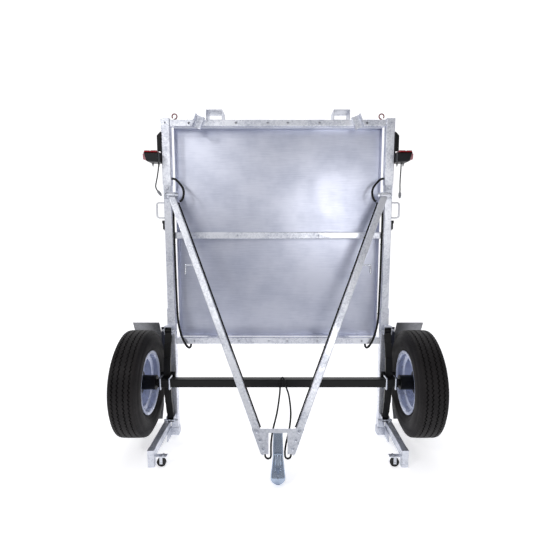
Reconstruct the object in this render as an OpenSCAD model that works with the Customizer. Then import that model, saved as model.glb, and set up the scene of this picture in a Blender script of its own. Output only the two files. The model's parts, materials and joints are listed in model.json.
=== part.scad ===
// Arrow board trailer, stood on its rear end with the drawbar folded down.
// X runs across the chassis, -Y is its underside and +Z is up. Millimetres.
// Every piece is drawn with Y = 0 on the front face of the upper rail sleeves.

/* [Frame] */
// Height of the two long rails, from the ground to their tops
frame_h = 1908; // [1800:1:2300]
// Width across the outer faces of the upper sleeves
frame_w = 1340; // [1290:1:1700]
// Width of the square upper sleeves
sleeve_w = 50.8; // [46:0.1:60]
// Length of the upper sleeves
sleeve_len = 373; // [280:1:420]
// How far each rail reaches up inside its sleeve
sleeve_lap = 150; // [60:1:200]
// Length of the collar round the middle of each rail
collar_len = 100; // [60:1:140]
// Height of the collar's lower end
collar_z = 705; // [700:1:800]
// Wall of the rails, sleeves and collars
rail_wall = 3; // [2:0.1:4]
// Width of the square cross tubes
cross_w = 38.1; // [30:0.1:46]
// Wall of the cross tubes
cross_wall = 2.5; // [1.5:0.1:4]
// Distance from the rail tops down to the middle of the top cross tube
cross_top_drop = 25; // [24:1:60]
// Height of the middle of the bottom cross tube
cross_low_z = 603; // [560:1:680]
// Diameter of the bolt holes in the cross tubes and rail tops
hole_d = 11; // [6:0.5:14]
// Distance from the middle of a cross tube to its inner, outer and end holes
hole_x = [57, 239, 510]; // [57, 239, 510]

/* [Board] */
// Width of the board
board_w = 1219; // [1000:1:1230]
// Depth of the board's folded edges
pan_depth = 50; // [30:1:60]
// Thickness of the board's sheet metal
sheet_t = 2; // [1:0.1:3]
// Depth of the lamp cabinet behind the board
cabinet_depth = 45; // [30:1:70]
// Gap between the frame's rear faces and the board
board_gap = 10.6; // [6:0.1:20]
// Distance between neighbouring lamps
lamp_pitch = 150; // [130:1:160]
// Outer diameter of a lamp hood
hood_d = 124; // [90:1:126]
// Length of a lamp hood
hood_len = 80; // [40:1:100]
// Radius of the board's hinge pins
hinge_pin_r = 5; // [3:0.5:8]
// Distance from the middle to each board hinge
hinge_x = 400; // [200:1:480]

/* [Tongue] */
// Distance from the pivots up to the saddles
saddle_reach = 410; // [330:1:430]
// Lean of the folded tongue from the vertical
tongue_lean = 17.9; // [15:0.1:24]
// Distance from the middle to each tongue pivot
pivot_x = 612; // [608:1:618]
// Distance from the rail sleeves' front faces to the pivots
pivot_out = 30; // [26:1:40]
// Distance from the middle to the lower end of each tongue tube
tongue_end_x = 66; // [62:1:80]
// Distance from the tongue's nose back to the ends of its tubes
nose_reach = 147; // [130:1:170]
// Width of the square tongue tubes
tongue_w = 38.1; // [30:0.1:40]
// Wall of the tongue tubes
tongue_wall = 3; // [2:0.1:4]
// Radius of the pivot bolts
pivot_bolt_r = 8; // [6:0.5:9]
// Radius of the hitch pins
pin_r = 4.5; // [3:0.5:6]

/* [Coupler] */
// Radius of the coupler's ball socket
socket_r = 25.6; // [23.9:0.1:29.6]
// Width of the coupler's body at its rear end
coupler_rear_w = 48; // [44:1:54]
// Length of the coupler
coupler_len = 250; // [230:1:300]
// Depth of the coupler's channel
coupler_depth = 46; // [40:1:60]
// Thickness of the coupler's steel
coupler_t = 4; // [3:0.5:6]

/* [Running gear] */
// Height of the axle above the ground
axle_z = 388; // [370:1:450]
// Width of the square axle
axle_w = 48; // [40:1:52]
// Distance from the sleeves' front faces to the middle of the axle
axle_out = 113; // [108:1:140]
// Width of the leaf springs
spring_w = 40; // [35:0.5:42]
// Distance from the rails' middles out to the springs' middles
spring_shift = 12; // [0:1:20]
// Thickness of one spring leaf
leaf_t = 7; // [5:0.5:8]
// Height of the spring's front eye above the axle
eye_up = 286; // [260:1:287]
// Length of the spring's slipper end below the axle
slipper_down = 290; // [280:1:320]
// Rise of the spring's arch
spring_arch = 50; // [35:1:60]
// Radius of the U-bolt rod
u_bolt_r = 5.5; // [4:0.5:6]

/* [Wheels] */
// Distance from the middle to the middle of each wheel
wheel_x = 812; // [805:1:900]
// Outer radius of the tyres
tyre_r = 305; // [270:1:330]
// Overall width of a tyre
tyre_w = 174; // [150:1:180]
// Width of the tread
tread_w = 125; // [100:1:140]
// Radius of the rim's bead seats
rim_r = 165; // [150:1:180]
// Width between the rim's flanges
rim_w = 127; // [110:1:140]
// Height of the rim's flanges
flange_h = 18; // [14:1:20]
// Radius of the wheel bolt circle
lug_circle_r = 57.15; // [50:0.05:62]

/* [Stand] */
// Distance from the sleeves' front faces to the front of each stand leg
leg_out = 350; // [300:1:380]
// Width of the stand legs
leg_w = 38; // [30:1:42]
// Height of the stand legs' tubes
leg_h = 50; // [40:1:56]
// Height of the lower face of the stand legs' tubes
leg_z = 46; // [45:1:60]
// Radius of the caster wheels
caster_r = 25; // [20:1:26]

/* [Lamps and fittings] */
// Width of a tail lamp
lamp_w = 80; // [70:1:120]
// Depth of a tail lamp, along Y
lamp_depth = 112; // [80:1:115]
// Height of a tail lamp's housing
lamp_h = 50; // [40:1:90]
// Distance from the rail tops down to the tail lamps' lenses
lamp_drop = 188; // [140:1:200]
// Height of the stacking brackets above the top cross tube
stack_h = 56; // [40:1:80]
// Width of the stacking brackets
stack_w = 94; // [60:1:110]
// Distance from the middle to each stacking bracket
stack_x = 365; // [330:1:380]
// Length of the side handles
handle_len = 100; // [80:1:140]
// Distance that the side handles stand out of the rails
handle_out = 54; // [40:1:70]

/* [Hidden] */

left = -1;
right = 1;
// Gap between pieces that slide in or past each other
slip = 0.3;
// Gap between a pin and its bore
run_gap = 0.05;
// Amount by which a cut runs past the face that it opens
over = 1;
round_fn = 64;

rail_w = sleeve_w - 2 * rail_wall - 2 * slip;
rail_x = frame_w / 2 - sleeve_w / 2;
rail_y = sleeve_w / 2;
rail_front = rail_y - rail_w / 2;
rail_side = rail_x + rail_w / 2;
sleeve_z = frame_h - sleeve_len;
cap_t = 5;
cap_h = 48;
cross_top_z = frame_h - cross_top_drop;
cross_mid_z = (cross_top_z + cross_low_z) / 2;
cross_front = rail_y - cross_w / 2;
cross_back = rail_y + cross_w / 2;

board_front = cross_back + board_gap;
board_back = board_front + pan_depth;
cabinet_back = board_back + cabinet_depth;
board_z = cross_low_z + cross_w / 2 - 1;
board_top = cross_top_z - cross_w / 2 + 2;
board_h = board_top - board_z;
board_mid = (board_z + board_top) / 2;
hinge_y = board_front + 7;
hinge_z = board_z - 12;
knuckle_r = hinge_pin_r + 4;

pivot_z = cross_top_z - saddle_reach;
web_off = tongue_w / 2 + 10;
nose_gap = 0.5;
coupler_back = coupler_depth - web_off;
tongue_len = (pivot_z - coupler_back * sin(tongue_lean) - nose_gap) / cos(tongue_lean);
tube_end = tongue_len - nose_reach;
tube_angle = atan((pivot_x - tongue_end_x) / tube_end);
pivot_boss_r = tongue_w / 2;
ear_r = pivot_boss_r - 3;
tube_start = pivot_boss_r - 1;
saddle_x = pivot_x - saddle_reach * tan(tube_angle);
plate_t = 5;
nose_w = 76;
latch_s = tongue_len - 150;
latch_half = 15;
latch_r = 4.4;
latch_pin_r = 2.5;
latch_off = -web_off - latch_r - slip;
nose_front = pivot_out + tongue_len * sin(tongue_lean) + web_off * cos(tongue_lean);
hood_back = cabinet_back + hood_len;
face_y = (nose_front - hood_back) / 2;

spring_front = axle_w / 2 - axle_out;
spring_chord = eye_up + slipper_down;
spring_r = spring_chord * spring_chord / (8 * spring_arch) + spring_arch / 2;
spring_mid_z = axle_z + (eye_up - slipper_down) / 2;
leaf_half = [140, 215, spring_chord / 2];
spring_centre_y = spring_front + spring_r;
main_mid_r = spring_r - 2.5 * leaf_t;
eye_z = axle_z + eye_up;
eye_y = spring_centre_y - sqrt(pow(main_mid_r, 2) - pow(eye_z - spring_mid_z, 2));
eye_r = 15;
eye_bolt_r = 6;
keeper_z = axle_z - 270;
keeper_y = spring_centre_y - sqrt(pow(spring_r - 2 * leaf_t, 2) - pow(keeper_z - spring_mid_z, 2))
    - eye_bolt_r - 3;
slipper_r = 6;
slipper_y = spring_centre_y
    - sqrt(pow(spring_r - 3 * leaf_t - slipper_r - slip, 2) - pow(keeper_z - spring_mid_z, 2));
spring_x = rail_x + spring_shift;
hanger_x = [spring_x - spring_w / 2 - 4, spring_x + spring_w / 2 + 4];
plate_half_z = axle_w / 2 + 4 * u_bolt_r;
plate_y = run_gap + spring_centre_y
    - sqrt(pow(spring_r - 3 * leaf_t, 2) - pow(plate_half_z + abs(axle_z - spring_mid_z), 2));
u_bolt_x = spring_w / 2 + u_bolt_r + 1;
u_bolt_z = axle_w / 2 + u_bolt_r + slip;
fender_y = 221;
fender_in = wheel_x - 42;
spindle_r = 17.5;
spindle_root_r = axle_w / 2 - 4;
axle_half = wheel_x - 112;
hub_back = 100;
flange_r = rim_r + flange_h;
bead_gap = 0.4;

leg_x = rail_side + 1.5 + leg_w / 2;
caster_stem_x = leg_x - leg_w / 2 - 46;
caster_trail = 11;
caster_y = -leg_out + 15;
caster_plate_z = 2 * caster_r + 9;

lamp_top = frame_h - lamp_drop;
lamp_x = frame_w / 2 + 3;
lamp_front = sleeve_w - lamp_depth;
lens_t = 10;
bracket_top = lamp_top + 112;

// Grid places of the lamps, in steps of lamp_pitch: a row with an arrowhead at each end
lamp_spots = concat(
    [for (i = [-3:3]) [i, 0]],
    [for (s = [-1, 1]) for (k = [1, 2]) for (v = [-1, 1]) [s * (3 - k), v * k]]
);

// Routes of the cables, chosen by hand
lead_left_route = [
    [-686, -8, 1659], [-686, -8, 1645], [-690, -9, 1615], [-696, -10, 1580],
    [-703, -10, 1550], [-707, -10, 1528], [-704, -10, 1512], [-696, -10, 1500]
];
lead_right_route = [
    [708, -8, 1659], [708, -8, 1645], [707, -9, 1610], [705, -10, 1570],
    [705, -10, 1530], [706, -10, 1508], [706, -10, 1492]
];
harness_route = [
    [606, 1, 1454], [606, 0, 1435], [609, -2, 1400], [611, -4, 1350], [611, -4, 1250],
    [610, -3, 1150], [610, 0, 1000], [609, 4, 860], [606, 2, 760], [598, -4, 700],
    [585, -10, 650], [568, -14, 605], [552, -8, 575], [542, 4, 562], [536, 16, 564],
    [534, 25, 576], [534, 25, 582.6]
];
loop_route = [
    [618.1, 22, 1572], [609, 22, 1572], [594, 17, 1565], [577, 9, 1549], [561, 0, 1531], [549, -12, 1513],
    [541, -30, 1489], [543, -41, 1463], [553, -42, 1444], [562, -40, 1438]
];
// Points of the draped cable, in the folded tongue's own X, depth and height
cable_route = [
    [-74, 10.8, -1372], [-66, 8, -1385], [-66, 5, -1405], [-61.6, 3, -1415.6], [-51, 0, -1420],
    [-40.4, -2, -1415.6], [-36, -3, -1405], [-36, -1, -1378], [-35, 21, -1340], [-26, 65, -1287],
    [-6, 121, -1214], [8, 172, -1130], [12, 209, -1086], [12, 219, -1062], [14, 215, -1045],
    [26, 227, -1029], [38, 215, -1045], [42, 219, -1062], [48, 209, -1086], [62, 172, -1130],
    [70, 121, -1214], [60, 65, -1287], [44, 21, -1340], [36, -1, -1378], [36, -3, -1405],
    [40.4, -2, -1415.6], [51, 0, -1420], [61.6, 3, -1415.6], [66, 5, -1405], [66, 8, -1385],
    [74, 10.8, -1372]
];
lead_d = 7;
harness_d = 13;
cable_d = 10;
wire_d = 8;

// ---------------------------------------------------------------- helpers

module side_of(side) {
    if (side < 0) mirror([1, 0, 0]) children();
    else children();
}

module both_sides() {
    for (side = [left, right]) side_of(side) children();
}

module placed() {
    translate([0, face_y, 0]) children();
}

// A rectangle with round corners, centred
module round_rect(w, h, r) {
    square([w - 2 * r, h], center = true);
    square([w, h - 2 * r], center = true);
    for (x = [-1, 1]) for (y = [-1, 1])
        translate([x * (w / 2 - r), y * (h / 2 - r)]) circle(r, $fn = 32);
}

// A hollow tube of w by h along +Z
module box_tube(w, h, wall, len) {
    linear_extrude(len) difference() {
        round_rect(w, h, wall + 1.5);
        round_rect(w - 2 * wall, h - 2 * wall, 1.5);
    }
}

module x_rod(r, x0, x1, fn = round_fn) {
    translate([x0, 0, 0]) rotate([0, 90, 0]) cylinder(h = x1 - x0, r = r, $fn = fn);
}

module y_rod(r, y0, y1, fn = round_fn) {
    translate([0, y0, 0]) rotate([-90, 0, 0]) cylinder(h = y1 - y0, r = r, $fn = fn);
}

module slab(x, y, z) {
    translate([x[0], y[0], z[0]]) cube([x[1] - x[0], y[1] - y[0], z[1] - z[0]]);
}

// A hexagonal bolt head or nut along X
module x_hex(r, x0, x1) {
    x_rod(r, x0, x1, 6);
}

module y_hex(r, y0, y1) {
    y_rod(r, y0, y1, 6);
}

function unit(v) = v / norm(v);

// A point on the smooth curve through four neighbours, t from 0 to 1
function curve_point(a, b, c, d, t) =
    0.5 * (2 * b + (c - a) * t + (2 * a - 5 * b + 4 * c - d) * t * t + (3 * b - a - 3 * c + d) * t * t * t);

// The route with cuts extra points between each pair
function smooth_route(p, cuts) =
    let (n = len(p))
    [for (i = [0:n - 2]) for (k = [0:cuts - 1])
        curve_point(p[max(i - 1, 0)], p[i], p[i + 1], p[min(i + 2, n - 1)], k / cuts), p[n - 1]];

function tangent(p, i) = unit(p[min(i + 1, len(p) - 1)] - p[max(i - 1, 0)]);

function turned_normal(n, t) = unit(n - (n * t) * t);

// Normals carried along the route, so that the tube doesn't twist
function carried_normals(p, i, n) =
    i >= len(p) ? [] :
    let (next = turned_normal(n, tangent(p, i)))
    concat([next], carried_normals(p, i + 1, next));

// A round cable along a route
module cable(route, d, sides, cuts) {
    p = smooth_route(route, cuts);
    normals = carried_normals(p, 0, abs(tangent(p, 0)[1]) < 0.8 ? [0, 1, 0] : [1, 0, 0]);
    rings = [for (i = [0:len(p) - 1]) for (k = [0:sides - 1])
        p[i] + d / 2 * (cos(360 * k / sides) * normals[i]
            + sin(360 * k / sides) * cross(tangent(p, i), normals[i]))];
    last = (len(p) - 1) * sides;
    walls = [for (i = [0:len(p) - 2]) for (k = [0:sides - 1]) for (half = [0, 1])
        let (a = i * sides + k, b = i * sides + (k + 1) % sides)
        half == 0 ? [a, a + sides, b] : [b, a + sides, b + sides]];
    first_cap = [for (k = [0:sides - 1]) k];
    last_cap = [for (k = [0:sides - 1]) last + sides - 1 - k];
    polyhedron(rings, concat(walls, [first_cap, last_cap]));
}

// The folded tongue's own frame: -Z along the tongue, -Y away from the chassis
module on_tongue() {
    translate([0, -pivot_out, pivot_z]) rotate([-tongue_lean, 0, 0]) children();
}

// One tongue tube's own frame: -Z along the tube, from its pivot
module on_tongue_tube() {
    on_tongue() translate([pivot_x, 0, 0]) rotate([0, tube_angle, 0]) children();
}

module on_wheel() {
    translate([wheel_x, -axle_out, axle_z]) children();
}

// Turns a section of [radius, distance outboard] round the axle line
module turned() {
    rotate([0, 90, 0]) rotate_extrude($fn = 128) children();
}

// ---------------------------------------------------------------- frame

module rail() {
    color("gainsboro") translate([rail_x, rail_y, cap_t])
        box_tube(rail_w, rail_w, rail_wall, sleeve_z + sleeve_lap - cap_t);
}

module sleeve_tube(z, len) {
    inner = rail_w + 2 * slip;
    translate([rail_x, rail_y, z]) linear_extrude(len) difference() {
        round_rect(sleeve_w, sleeve_w, rail_wall + 1.5);
        round_rect(inner, inner, rail_wall + 1.2);
    }
}

module rail_sleeves() {
    color("gainsboro") both_sides() {
        difference() {
            sleeve_tube(sleeve_z, sleeve_len);
            translate([rail_x, 0, cross_top_z]) y_rod(hole_d / 2, -over, sleeve_w + over);
        }
        sleeve_tube(collar_z, collar_len);
    }
}

// A cup under each rail, with the plate that carries the stand leg
module foot_brackets() {
    cheek_t = 6;
    cheek_lap = 12;
    cheek_bolt_y = -80;
    color("silver") both_sides() {
        difference() {
            union() {
                translate([rail_x, rail_y, 0]) linear_extrude(cap_h) round_rect(sleeve_w, sleeve_w, 4.5);
                slab([leg_x - leg_w / 2 - cheek_t, leg_x - leg_w / 2], [cheek_bolt_y - 15, 4],
                    [cap_t, leg_z + cheek_lap]);
            }
            translate([rail_x, rail_y, cap_t]) linear_extrude(leg_z + cheek_lap)
                round_rect(rail_w + 2 * slip, rail_w + 2 * slip, rail_wall + 1.2);
            translate([0, cheek_bolt_y, leg_z - 12]) x_rod(hole_d / 2, leg_x - leg_w, leg_x);
        }
    }
}

// A cross tube between the rails, with holes through it along Y
module cross_tube(z, half, hole_count) {
    color("gainsboro") difference() {
        translate([-half, rail_y, z]) rotate([0, 90, 0]) box_tube(cross_w, cross_w, cross_wall, 2 * half);
        for (side = [left, right]) for (k = [0:hole_count - 1])
            translate([side * hole_x[k], 0, z]) y_rod(hole_d / 2, cross_front - over, cross_back + over);
    }
}

module tongue_brackets() {
    ear_t = 5;
    ear_in = pivot_x - 27;
    ear_out = pivot_x + 23;
    color("silver") both_sides() difference() {
        union() {
            slab([ear_in, rail_side - 2], [rail_front - ear_t, rail_front], [pivot_z - 18, pivot_z + ear_r]);
            slab([rail_x - 20, rail_side - 2], [rail_front - ear_t, rail_front], [pivot_z, sleeve_z - 3]);
            for (x = [ear_in, ear_out]) {
                translate([0, -pivot_out, pivot_z]) x_rod(ear_r, x, x + ear_t);
                slab([x, x + ear_t], [-pivot_out, rail_front - 1], [pivot_z - ear_r, pivot_z + ear_r]);
            }
        }
        translate([0, -pivot_out, pivot_z]) x_rod(pivot_bolt_r + run_gap, ear_in - over, ear_out + 2 * ear_t);
    }
}

// Pivot bolts of the tongue, spring eye bolts, keeper bolts and stand leg bolts
module chassis_bolts() {
    color("lightgray") both_sides() {
        translate([0, -pivot_out, pivot_z]) {
            x_rod(pivot_bolt_r, pivot_x - 38, pivot_x + 36);
            x_hex(13, pivot_x + 28 + slip, pivot_x + 36);
            x_hex(13, pivot_x - 38, pivot_x - 27 - slip);
        }
        translate([rail_x, 0, sleeve_z - 16]) y_hex(9, rail_front - 12, rail_front - 5);
        for (spot = [[eye_y, eye_z], [keeper_y, keeper_z]]) translate([0, spot[0], spot[1]]) {
            x_rod(eye_bolt_r, hanger_x[0] - 20, hanger_x[1] + 16);
            x_hex(10, hanger_x[1] + slip, hanger_x[1] + 8);
            x_hex(10, hanger_x[0] - 11, hanger_x[0] - slip);
        }
    }
}

// Tilted U seats on the top cross tube that the raised tongue tubes drop into.
// The inner ear is short, so that the tube's wires pass it.
module tongue_saddles() {
    web_t = 4;
    seat = tongue_w / 2 + slip;
    half_len = 35;
    ear_front = [-pivot_out + wire_d / 2 + 3, -pivot_out - 14];
    color("gainsboro") both_sides() difference() {
        translate([saddle_x, 0, cross_top_z]) rotate([0, -tube_angle, 0]) {
            slab([-seat - web_t, seat + web_t],
                [seat - pivot_out, seat - pivot_out + web_t], [-half_len, half_len]);
            slab([-seat - web_t, -seat], [ear_front[0], cross_front], [-half_len, half_len]);
            slab([seat, seat + web_t], [ear_front[1], cross_front], [-half_len, half_len]);
        }
        slab([saddle_x, saddle_x + 60], [ear_front[1] - over, -pivot_out + pin_r + 1],
            [cross_top_z - pin_r - 1, cross_top_z + pin_r + 1]);
    }
}

module stacking_brackets() {
    t = 4;
    base = cross_top_z + cross_w / 2;
    color("silver") both_sides() difference() {
        slab([stack_x - stack_w / 2, stack_x + stack_w / 2], [cross_front + 4, 130], [base, base + stack_h]);
        slab([stack_x - stack_w / 2 + t, stack_x + stack_w / 2 - t], [0, 130 + over],
            [base - over, base + stack_h - t]);
    }
}

// Open rings on the top cross tube, each on a short stub
module tie_hooks() {
    base = cross_top_z + cross_w / 2;
    hook_x = 595;
    ring_r = 14;
    color("firebrick") both_sides() {
        translate([hook_x, rail_y, base + ring_r + 7]) rotate([90, 0, 0]) rotate([0, 0, -40])
            rotate_extrude(angle = 300, $fn = 48) translate([ring_r, 0]) circle(3.5, $fn = 24);
        translate([hook_x, rail_y, base]) cylinder(h = 7, r = 5, $fn = 32);
    }
}

module side_handles() {
    rod_r = 6;
    z0 = sleeve_z - 195;
    color("whitesmoke") both_sides() translate([0, rail_y, 0]) {
        for (z = [z0 + rod_r, z0 + handle_len - rod_r])
            translate([0, 0, z]) {
                x_rod(rod_r, rail_side, rail_side + handle_out - rod_r);
                translate([rail_side + handle_out - rod_r, 0, 0]) sphere(rod_r, $fn = 32);
                x_rod(rod_r + 5, rail_side, rail_side + 3);
            }
        translate([rail_side + handle_out - rod_r, 0, z0 + rod_r])
            cylinder(h = handle_len - 2 * rod_r, r = rod_r, $fn = 32);
    }
}

// Rubber latches that hold the board down on the frame
module draw_latches() {
    z0 = sleeve_z - 263;
    color("#222222") both_sides() {
        slab([rail_side, rail_side + 5], [rail_y - 14, rail_y + 14], [z0, z0 + 24]);
        slab([rail_side + 5, rail_side + 14], [rail_y - 9, rail_y + 9], [z0 + 6, z0 + 50]);
        translate([0, rail_y, z0 + 50]) x_rod(9, rail_side, rail_side + 18, 48);
    }
}

// ---------------------------------------------------------------- tail lamps

module lamp_brackets() {
    x0 = frame_w / 2;
    color("#26262a") both_sides() {
        slab([x0, lamp_x], [-8, sleeve_w], [lamp_top - 62, bracket_top]);
        translate([0, -8, 0]) rotate([90, 0, 0]) linear_extrude(3)
            polygon([[x0, lamp_top + 2], [x0 + 21, lamp_top + 2], [x0 + 21, bracket_top - 22], [x0, bracket_top]]);
    }
}

module tail_lamp_housings() {
    z1 = lamp_top - lens_t;
    z0 = z1 - lamp_h;
    color("#1c1c20") both_sides() {
        translate([0, sleeve_w, 0]) rotate([90, 0, 0]) linear_extrude(lamp_depth)
            polygon([[lamp_x, z0], [lamp_x, z1], [lamp_x + lamp_w, z1], [lamp_x + lamp_w - 16, z0]]);
        for (x = [lamp_x + 15, lamp_x + 50]) translate([x, 6, z0 - 20]) cylinder(h = 20, r = 3, $fn = 24);
    }
}

module tail_lamp_lenses() {
    z1 = lamp_top - lens_t;
    color("#8e1420") both_sides()
        slab([lamp_x + 6, lamp_x + lamp_w], [lamp_front, sleeve_w], [z1, lamp_top]);
}

module marker_lenses() {
    z1 = lamp_top - lens_t - 4;
    z0 = z1 - lamp_h + 6;
    x1 = lamp_x + lamp_w;
    color("#c98a92") both_sides() translate([0, sleeve_w - 12, 0]) rotate([90, 0, 0])
        linear_extrude(lamp_depth - 24)
            polygon([[x1 - 13 + slip, z0], [x1 - 1 + slip, z1], [x1 + 11, z1 - 2], [x1 + 13, z0 + 6], [x1 + 4, z0]]);
}

module lamp_lead(route) {
    color("#151515") cable(route, lead_d, 8, 2);
}

module plug_at(route) {
    n = len(route);
    p = smooth_route(route, 2);
    d = tangent(p, len(p) - 1);
    translate(route[n - 1]) rotate([0, atan2(d[0], d[2]), 0]) {
        translate([-7, -6, 0]) cube([14, 12, 26]);
        translate([-5, -4, 26]) cube([10, 8, 8]);
    }
}

module lamp_plugs() {
    color("gray") {
        plug_at(lead_left_route);
        plug_at(lead_right_route);
    }
}

// Cables that leave the sleeves beside the tongue's pivots, clear of its swing
module pivot_loops() {
    color("#151515") both_sides() cable(loop_route, harness_d, 8, 3);
}

module rail_harness() {
    color("#151515") both_sides() cable(harness_route, harness_d, 8, 2);
}

// ---------------------------------------------------------------- running gear

// Channels on the rails: one holds the spring's eye, the other its slipper end
module spring_hangers() {
    t = 3;
    color("silver") both_sides() {
        for (spot = [[eye_y, eye_z, 22, 24], [keeper_y, keeper_z, 16, 26]]) difference() {
            union() {
                for (x = [hanger_x[0], hanger_x[1] - t]) {
                    slab([x, x + t], [spot[0] - 14, rail_front - t], [spot[1] - spot[2], spot[1] + spot[3]]);
                }
                slab([hanger_x[0], hanger_x[1]], [rail_front - t, rail_front],
                    [spot[1] - spot[2], spot[1] + spot[3]]);
            }
            translate([0, spot[0], spot[1]]) x_rod(eye_bolt_r + run_gap, hanger_x[0] - over, hanger_x[1] + over);
        }
        slab([hanger_x[0], hanger_x[1]], [eye_y - 14, rail_front], [eye_z + 24, eye_z + 30]);
        translate([0, slipper_y, keeper_z]) x_rod(slipper_r, hanger_x[0], hanger_x[1]);
    }
}

module spring_leaf(r_out, half) {
    intersection() {
        translate([0, spring_centre_y, spring_mid_z]) difference() {
            x_rod(r_out, spring_x - spring_w / 2, spring_x + spring_w / 2, 256);
            x_rod(r_out - leaf_t, spring_x - spring_w, spring_x + spring_w, 256);
        }
        slab([spring_x - spring_w, spring_x + spring_w], [spring_front - over, spring_front + 120],
            [spring_mid_z - half, spring_mid_z + half]);
    }
}

module leaf_springs() {
    color("#1b1b1d") both_sides() difference() {
        union() {
            for (k = [0:2]) spring_leaf(spring_r - k * leaf_t, leaf_half[k]);
            translate([0, eye_y, eye_z]) x_rod(eye_r, spring_x - spring_w / 2, spring_x + spring_w / 2);
        }
        translate([0, eye_y, eye_z]) x_rod(eye_bolt_r + run_gap, spring_x - spring_w, spring_x + spring_w);
    }
}

// Plates on the rail side of the springs that the U-bolts pull against
module tie_plates() {
    half_x = spring_w / 2 + 4 * u_bolt_r;
    color("#232326") both_sides() difference() {
        slab([spring_x - half_x, spring_x + half_x], [plate_y, plate_y + 7],
            [axle_z - plate_half_z, axle_z + plate_half_z]);
        for (x = [-1, 1]) for (z = [-1, 1])
            translate([spring_x + x * u_bolt_x, 0, axle_z + z * u_bolt_z])
                y_rod(u_bolt_r + slip, plate_y - over, plate_y + 7 + over);
    }
}

// Four U-bolts round the axle, with their nuts behind the tie plates
module u_bolts() {
    front = -axle_out - axle_w / 2 - u_bolt_r - slip;
    color("lightgray") both_sides() for (x = [-1, 1]) translate([spring_x + x * u_bolt_x, 0, axle_z]) {
        for (z = [-1, 1]) translate([0, 0, z * u_bolt_z]) {
            y_rod(u_bolt_r, front, plate_y + 24);
            translate([0, front, 0]) sphere(u_bolt_r, $fn = 32);
            y_hex(10, plate_y + 7, plate_y + 17);
        }
        translate([0, front, -u_bolt_z]) cylinder(h = 2 * u_bolt_z, r = u_bolt_r, $fn = 32);
    }
}

module axle() {
    color("#161617") translate([-axle_half, -axle_out, axle_z]) rotate([0, 90, 0])
        box_tube(axle_w, axle_w, 4, 2 * axle_half);
}

module spindles() {
    color("dimgray") both_sides() translate([0, -axle_out, axle_z]) {
        x_rod(spindle_root_r, axle_half - 60, wheel_x - hub_back - 2);
        x_rod(spindle_r, wheel_x - hub_back - 2, wheel_x + 36);
    }
}

// Flat-topped fender with angled ends
module fenders() {
    t = 3;
    top = 240;
    drop = 48;
    run = 88;
    color("gray") both_sides() translate([fender_in, 0, axle_z - 38]) rotate([0, 90, 0])
        linear_extrude(170) polygon([
            [-top - run, fender_y - drop], [-top, fender_y], [top, fender_y], [top + run, fender_y - drop],
            [top + run, fender_y - drop + t], [top, fender_y + t], [-top, fender_y + t],
            [-top - run, fender_y - drop + t]]);
}

// Arms from the rails to the fenders, with a plate that joins them inboard of the fender
module fender_brackets() {
    t = 5;
    x0 = rail_side;
    color("#4a4b50") both_sides() difference() {
        union() {
            for (z = [axle_z - 200, axle_z + 110]) {
                slab([x0, x0 + t], [rail_y - 15, fender_y], [z, z + 40]);
                slab([x0, wheel_x + 100], [fender_y - t, fender_y], [z, z + 40]);
            }
            slab([x0, fender_in - slip], [fender_y - t, fender_y], [axle_z - 200, axle_z + 250]);
        }
        translate([x0 + 45, 0, axle_z + 115]) y_rod(7, fender_y - t - over, fender_y + over);
    }
}

// ---------------------------------------------------------------- stand

module stand_legs() {
    wall = 3;
    color("silver") both_sides() {
        translate([leg_x, -slip, leg_z + leg_h / 2]) rotate([90, 0, 0])
            box_tube(leg_w, leg_h, wall, leg_out - leg_w - slip);
        translate([leg_x, -leg_out + leg_w / 2, 0]) box_tube(leg_w, leg_w, wall, leg_z + leg_h);
        translate([leg_x, -leg_out + leg_w / 2, leg_z + leg_h - wall]) linear_extrude(wall)
            round_rect(leg_w, leg_w, wall);
        difference() {
            slab([caster_stem_x - 20, leg_x - leg_w / 2], [caster_y - 14, caster_y + 14],
                [caster_plate_z, caster_plate_z + 4]);
            translate([caster_stem_x, caster_y, 0]) cylinder(h = 200, r = 4 + run_gap, $fn = 48);
        }
    }
}

module caster_fork() {
    cheek = 10;
    x = caster_stem_x + caster_trail;
    color("lightgray") difference() {
        union() {
            slab([caster_stem_x - 12, x + 8], [caster_y - cheek - 2, caster_y + cheek + 2],
                [caster_plate_z - 4, caster_plate_z - 1]);
            for (y = [caster_y - cheek - 2, caster_y + cheek])
                slab([x - 8, x + 8], [y, y + 2], [caster_r - 8, caster_plate_z - 3]);
            translate([caster_stem_x, caster_y, caster_plate_z - 2]) cylinder(h = 12, r = 4, $fn = 48);
            translate([caster_stem_x, caster_y, caster_plate_z + 4.5]) cylinder(h = 6, r = 8, $fn = 6);
            translate([x, caster_y, caster_r]) y_rod(3, -cheek - 4, cheek + 4);
        }
    }
}

module caster_wheel() {
    half = 9;
    color("#19191b") translate([caster_stem_x + caster_trail, caster_y, caster_r]) difference() {
        rotate([-90, 0, 0]) rotate_extrude($fn = 96) polygon([
            [3 + run_gap, -half], [9, -half], [10, 3 - half], [17, 3 - half], [18, -half], [caster_r - 3, -half],
            [caster_r, 3 - half], [caster_r, half - 3], [caster_r - 3, half], [18, half], [17, half - 3],
            [10, half - 3], [9, half], [3 + run_gap, half]]);
    }
}

// ---------------------------------------------------------------- board

module board_pan() {
    color("#c3c8d4") difference() {
        slab([-board_w / 2, board_w / 2], [board_front, board_back], [board_z, board_top]);
        slab([-board_w / 2 + sheet_t, board_w / 2 - sheet_t], [board_front - over, board_back - sheet_t],
            [board_z + sheet_t, board_top - sheet_t]);
    }
}

module lamp_cabinet() {
    wall = 2;
    color("#141416") difference() {
        slab([-board_w / 2, board_w / 2], [board_back, cabinet_back], [board_z, board_top]);
        slab([-board_w / 2 + wall, board_w / 2 - wall], [board_back - over, cabinet_back - wall],
            [board_z + wall, board_top - wall]);
    }
}

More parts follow.
